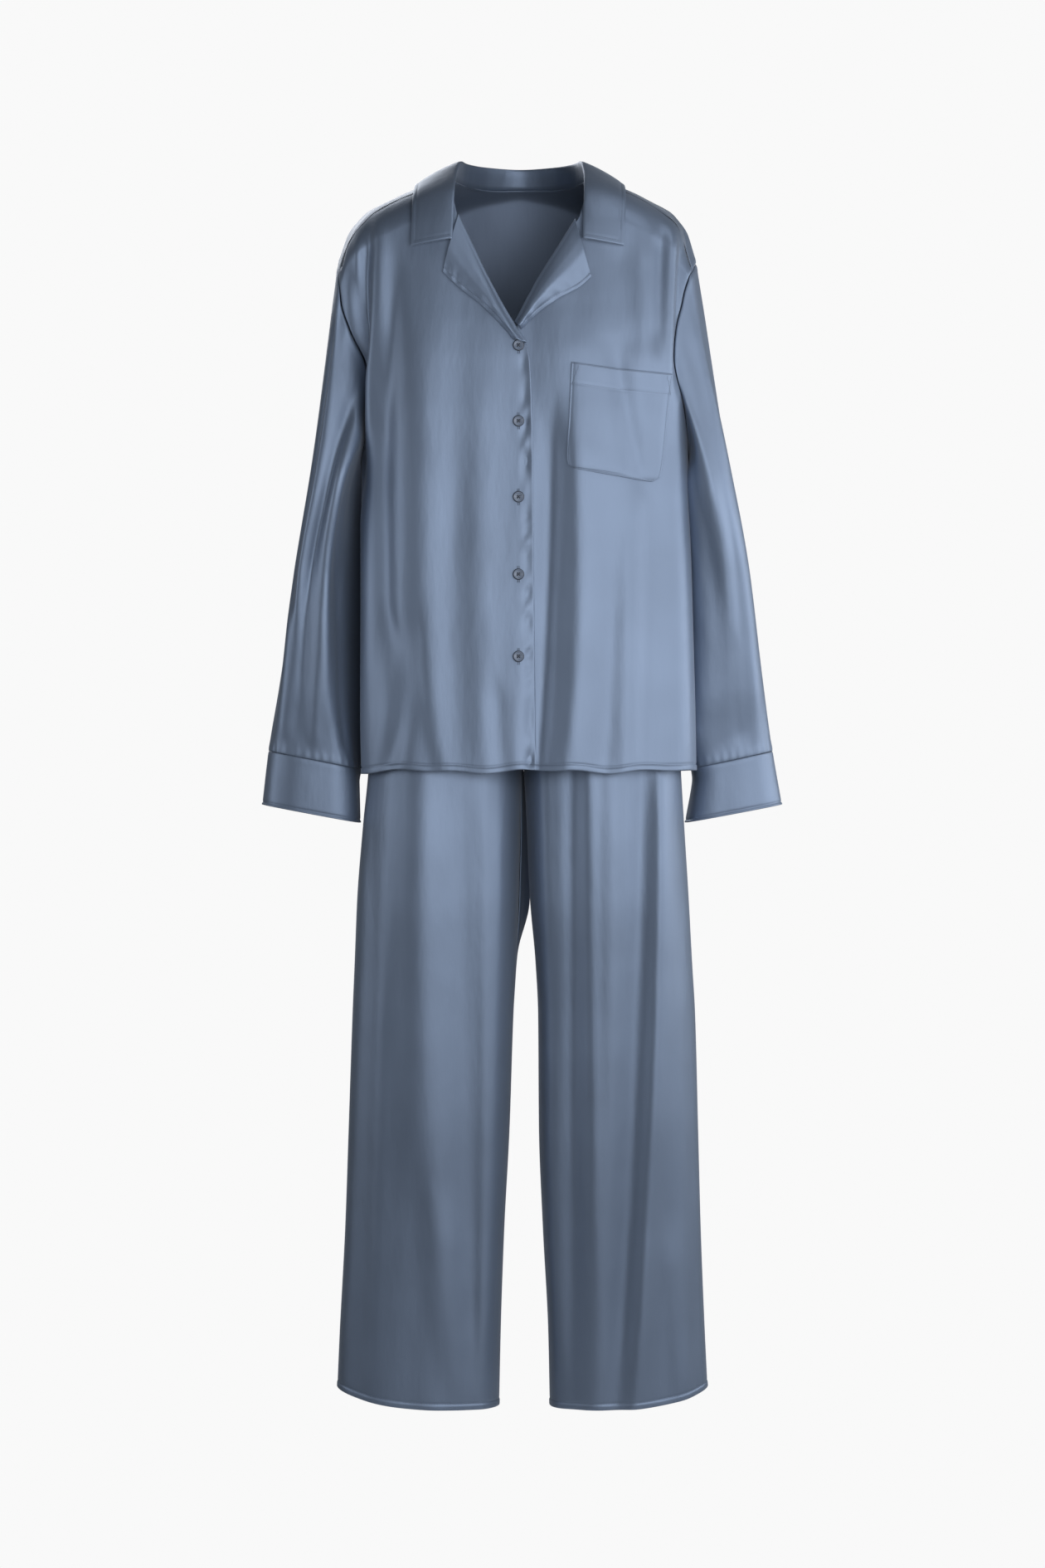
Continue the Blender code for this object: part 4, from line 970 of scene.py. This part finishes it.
def stitch_mesh(name, lines, step=STITCH_STEP, length=STITCH, radius=THREAD_R, sunk=0.02, made=None):
    """Short rounded stitches one after another along each line, all in one piece."""
    points, faces, base = [], [], 0
    sides = np.linspace(0, 2 * np.pi, THREAD_SIDES, endpoint=False)[None, :, None]
    n = np.arange(THREAD_SIDES)
    m = np.roll(n, -1)
    for line, ups in lines:
        run = np.concatenate([[0], np.cumsum(np.linalg.norm(np.diff(line, axis=0), axis=1))])
        centres = np.arange(step * 0.6, run[-1] - step * 0.4, step)
        if not len(centres):
            continue
        here = at_shares(run, line, centres)
        start, stop = at_shares(run, line, centres - length / 2), at_shares(run, line, centres + length / 2)
        up = unit(at_shares(run, ups, centres))
        along_it = unit(stop - start)
        across = np.cross(along_it, up)
        for t, wide in ((-0.5, 0.25), (-0.3, 1.0), (0.3, 1.0), (0.5, 0.25)):
            middle = here + along_it * length * t - up * (sunk + (0.6 * radius if wide < 1 else 0))
            spokes = across[:, None] * np.cos(sides) + up[:, None] * np.sin(sides)
            points.append((middle[:, None] + radius * wide * spokes).reshape(-1, 3))
        ring = len(centres) * THREAD_SIDES
        first = base + np.arange(len(centres))[:, None] * THREAD_SIDES
        for a in (first, first + ring, first + 2 * ring):
            b = a + ring
            faces.append(np.stack([a + n, a + m, b + m, b + n], -1).reshape(-1, 4))
        for k, order in ((0, (0, 5, 4, 3)), (0, (0, 3, 2, 1)), (3, (0, 1, 2, 3)), (3, (0, 3, 4, 5))):
            faces.append(first + k * ring + np.array(order))
        base += 4 * ring
    mesh = make_mesh(name, np.concatenate(points), np.concatenate(faces))
    return finish(name, mesh, [made or THREAD])


def build_hem_stitches():
    shirt_pieces = ("shirt_front_right", "shirt_front_left", "shirt_back")
    legs = [f"trouser_{part}_{word}" for part in ("front", "back") for word in ("right", "left")]
    for name, pieces in (("stitches_shirt_hem", shirt_pieces), ("stitches_trouser_hem", legs)):
        stitch_mesh(name, [inset(piece, 0, 0, HEM_TURN) for piece in pieces])


def build_edge_stitches():
    lines = [inset(f"lapel_{word}", 1, 1, EDGE_SEWN) for word in ("right", "left")]
    lines.append(inset("collar", 0, 1, EDGE_SEWN, 8, -8))
    lines += [inset("collar", 1, end, EDGE_SEWN, 6, -6) for end in (0, 1)]
    stitch_mesh("stitches_collar", lines)
    lines = [inset("pocket", axis, end, POCKET_SEWN) for axis, end in ((1, 0), (1, 1), (0, 0))]
    lines.append(inset("pocket", 0, 1, POCKET_BAND))
    stitch_mesh("stitches_pocket", lines)


def build_seam_lines():
    """Sewn line of each shoulder, in close stitches of near-black thread: real stitching, with the shade of
    the seam's ditch painted into it.
    """
    lines = []
    for side in (-1, 1):
        chart = seen(along(SHOULDER_SEAM, np.linspace(0, 1, 90)))
        lines.append((shirt(side, chart, -0.1), body_normal(side, *chart.T)))
    stitch_mesh("shoulder_seams", lines, 2.0, 1.95, 0.45, 0.0, SEAM_SHADE_THREAD)


def build_bartacks():
    """Slanting stitches at each top corner of the pocket, and a row along its opening."""
    grid, normal = GRIDS["pocket"]
    lines = []
    up, across = grid_run(grid, 0, 1), grid_run(grid, 1, 0)
    wide = across[-1, -1]
    for start, stop in ((POCKET_SEWN, 8.5), (wide - POCKET_SEWN, wide - 8.5)):
        line, ups = [], []
        for t in np.linspace(0, 1, 12):
            down, inward = POCKET_BAND + (1.2 - POCKET_BAND) * t, start + (stop - start) * t
            row = int(np.argmin(np.abs(up[:, len(up[0]) // 2] - down)))
            at = int(np.argmin(np.abs(across[row] - inward)))
            line.append(grid[row, at])
            ups.append(normal[row, at])
        lines.append((np.array(line), np.array(ups)))
    lines.append(inset("pocket", 0, 1, 1.4))
    stitch_mesh("pocket_corners", lines, 2.2, 1.9, 0.22, -0.02)


def build_buttonholes():
    """Worked buttonholes, upright: a dense row of stitches down each side of the slit."""
    lines = []
    for height in BUTTON_ROWS:
        for aside in (-0.9, 0.9):
            x = -BUTTON_X - aside + column(BODY, 5, height)
            chart = place(x, height + np.linspace(-9.5, 9.5, 12))
            lines.append((shirt(-1, chart, 0.3), body_normal(-1, *chart.T)))
    stitch_mesh("buttonholes", lines, 0.55, 0.5, 0.42, 0.05)


def build_thread_crosses():
    level = BUTTON_PROFILE[-1][1] + 0.1
    for number, height in enumerate(BUTTON_ROWS, 1):
        seat, right, up, out = button_seat(height)
        lines = []
        for x in (1.7, -1.7):
            ends = np.array([[-x, level - 0.2, -1.7], [0, level + 0.25, 0], [x, level - 0.2, 1.7]])
            line = seat + ends[:, :1] * right + ends[:, 1:2] * out + ends[:, 2:] * up
            lines.append((line, np.tile(out, (3, 1))))
        stitch_mesh(f"button_thread_{number}", lines, 4.2, 4.6, 0.42, 0, DARK_THREAD)


# ---- materials ----
def put(node, **values):
    """Sets inputs of a node; an underscore stands for the space in a name."""
    for name, value in values.items():
        node.inputs[name.replace("_", " ")].default_value = value


def principled(name, colour, roughness):
    made = bpy.data.materials.new(name)
    made.use_nodes = True
    tree = made.node_tree
    shader = tree.nodes["Principled BSDF"]
    put(shader, Base_Color=(*colour, 1), Roughness=roughness)
    return made, tree, shader


def noise(tree, where, scale, detail=2.0, roughness=0.5):
    node = tree.nodes.new("ShaderNodeTexNoise")
    put(node, Scale=scale, Detail=detail, Roughness=roughness)
    tree.links.new(where, node.inputs["Vector"])
    return node.outputs["Fac"]


def two_tone(tree, share, colours, positions):
    node = tree.nodes.new("ShaderNodeValToRGB")
    for element, colour, position in zip(node.color_ramp.elements, colours, positions):
        element.position = position
        element.color = (*colour, 1)
    tree.links.new(share, node.inputs["Fac"])
    return node.outputs["Color"]


def bumps(tree, height, strength, distance):
    node = tree.nodes.new("ShaderNodeBump")
    put(node, Strength=strength, Distance=distance)
    tree.links.new(height, node.inputs["Height"])
    return node


def satin(name, colour, roughness, sheen):
    """Woven satin: faint cloudy colour, a fine weave and soft small crumples in the relief."""
    made, tree, shader = principled(name, colour, roughness)
    put(shader, Specular_IOR_Level=0.4, Metallic=0.6)
    put(shader, Sheen_Weight=sheen, Sheen_Roughness=0.45, Sheen_Tint=(0.80, 0.88, 1.0, 1))
    where = tree.nodes.new("ShaderNodeTexCoord").outputs["Object"]
    tones = [[c * tone for c in colour] for tone in (0.955, 1.045)]
    cloudy = two_tone(tree, noise(tree, where, 9), tones, (0.35, 0.65))
    tree.links.new(cloudy, shader.inputs["Base Color"])
    stretch = tree.nodes.new("ShaderNodeMapping")
    put(stretch, Scale=(1.0, 1.0, 0.28))
    tree.links.new(where, stretch.inputs["Vector"])
    soft = bumps(tree, noise(tree, stretch.outputs["Vector"], 62, 3, 0.45), 0.45, 0.0016)
    fine = bumps(tree, noise(tree, where, 1400, 1), 0.10, 0.0003)
    tree.links.new(soft.outputs["Normal"], fine.inputs["Normal"])
    tree.links.new(fine.outputs["Normal"], shader.inputs["Normal"])
    return made


SATIN = satin("satin", (0.158, 0.208, 0.299), 0.50, 0.2)
# Reverse face: a duller satin, with its colour painted lighter than the outer face to lift the shade inside
# the neck.
SATIN_BACK_PAINTED_LIGHTER = satin("satin_back_painted_lighter", (0.172, 0.222, 0.316), 0.62, 0.1)


def pearly(name):
    made, tree, shader = principled(name, (0.12, 0.155, 0.222), 0.38)
    put(shader, Coat_Weight=0.12, Coat_Roughness=0.15)
    where = tree.nodes.new("ShaderNodeTexCoord").outputs["Object"]
    tones = (0.100, 0.130, 0.190), (0.145, 0.185, 0.262)
    cloudy = two_tone(tree, noise(tree, where, 260), tones, (0, 1))
    tree.links.new(cloudy, shader.inputs["Base Color"])
    return made


def sewing_thread(name, colour):
    made, tree, shader = principled(name, colour, 0.55)
    where = tree.nodes.new("ShaderNodeTexCoord").outputs["Object"]
    twist = bumps(tree, noise(tree, where, 2200), 0.3, 0.0002)
    tree.links.new(twist.outputs["Normal"], shader.inputs["Normal"])
    return made


PLASTIC = pearly("button_plastic")
# Painted shade for the outer side of each button's rim.
PLASTIC_PAINTED_SHADE = sewing_thread("button_painted_shade", (0.035, 0.045, 0.066))
THREAD = sewing_thread("thread", (0.055, 0.072, 0.105))
# Near-black thread of the shoulder seams: painted shade along the seam's ditch.
SEAM_SHADE_THREAD = sewing_thread("seam_shade_thread", (0.02, 0.027, 0.04))
DARK_THREAD = sewing_thread("button_thread", (0.022, 0.028, 0.042))

# ---- the set ----
build_front("shirt_front_right", -1, ROLL_RIGHT, EDGE_RIGHT, False)
build_front("shirt_front_left", 1, ROLL_LEFT, EDGE_LEFT, True)
build_back()
for side, word in ((-1, "right"), (1, "left")):
    build_sleeve(side, word)
    build_trouser(f"trouser_front_{word}", side, True)
    build_trouser(f"trouser_back_{word}", side, False)
build_collar()
build_lapel("lapel_right", -1, ROLL_RIGHT, LAPEL_OUTER_RIGHT)
build_lapel("lapel_left", 1, ROLL_LEFT_SEEN, LAPEL_OUTER_LEFT)
build_pocket()
build_waistband()
for number, height in enumerate(BUTTON_ROWS, 1):
    build_button(number, height)
build_hem_stitches()
build_edge_stitches()
build_seam_lines()
build_bartacks()
build_buttonholes()
build_thread_crosses()


# ---- floor, light and camera ----
def build_floor():
    bpy.ops.mesh.primitive_cylinder_add(vertices=96, radius=1.0, depth=0.02, location=(0, 0.05, -1.79))
    floor = bpy.context.object
    floor.name = "floor"
    floor.data.materials.append(principled("floor_white", (0.82, 0.82, 0.82), 0.7)[0])


def area_light(name, at, aim, size, power):
    """Round lamp: places and size in metres, power in watts."""
    light = bpy.data.lights.new(name, "AREA")
    light.shape = "DISK"
    light.size = size
    light.energy = power
    lamp = bpy.data.objects.new(name, light)
    lamp.location = at
    lamp.rotation_euler = (Vector(aim) - Vector(at)).to_track_quat("-Z", "Y").to_euler()
    bpy.context.scene.collection.objects.link(lamp)


def build_world():
    """White behind the object, and a weaker grey that lights it."""
    world = bpy.data.worlds.new("studio")
    bpy.context.scene.world = world
    world.use_nodes = True
    nodes, links = world.node_tree.nodes, world.node_tree.links
    lit = nodes["Background"]
    put(lit, Color=(1, 1, 1, 1), Strength=0.02)
    shown = nodes.new("ShaderNodeBackground")
    put(shown, Color=(0.947, 0.947, 0.947, 1), Strength=1.0)
    path = nodes.new("ShaderNodeLightPath")
    mix = nodes.new("ShaderNodeMixShader")
    links.new(path.outputs["Is Camera Ray"], mix.inputs["Fac"])
    links.new(lit.outputs["Background"], mix.inputs[1])
    links.new(shown.outputs["Background"], mix.inputs[2])
    links.new(mix.outputs["Shader"], nodes["World Output"].inputs["Surface"])


build_floor()
build_world()
for name, x, y, power in (
    ("key", 0.80, -1.56, 13),
    ("side", 1.60, -0.71, 11.5),
    ("rim", 1.72, 0.30, 11.5),
    ("front", 0.0, -1.75, 8.5),
    ("left", -1.69, -0.45, 8),
):
    area_light(name, (x, y, -0.42), (0, 0, -0.5), 1.2, power)
area_light("top", (0.7, -0.9, 1.2), (0, 0, -0.1), 1.1, 7)
area_light("back", (-1.2, 3.0, 1.4), (0, 0, -0.6), 2.2, 55)

camera = bpy.data.cameras.new("camera")
camera.sensor_fit = "VERTICAL"
camera.sensor_height = 36
camera.lens = 100.25
camera.clip_end = 50
viewer = bpy.data.objects.new("camera", camera)
viewer.location = (0, -5.0, -0.677)
viewer.rotation_euler = (np.pi / 2, 0, 0)
bpy.context.scene.collection.objects.link(viewer)
bpy.context.scene.camera = viewer
bpy.context.scene.view_settings.view_transform = "Standard"
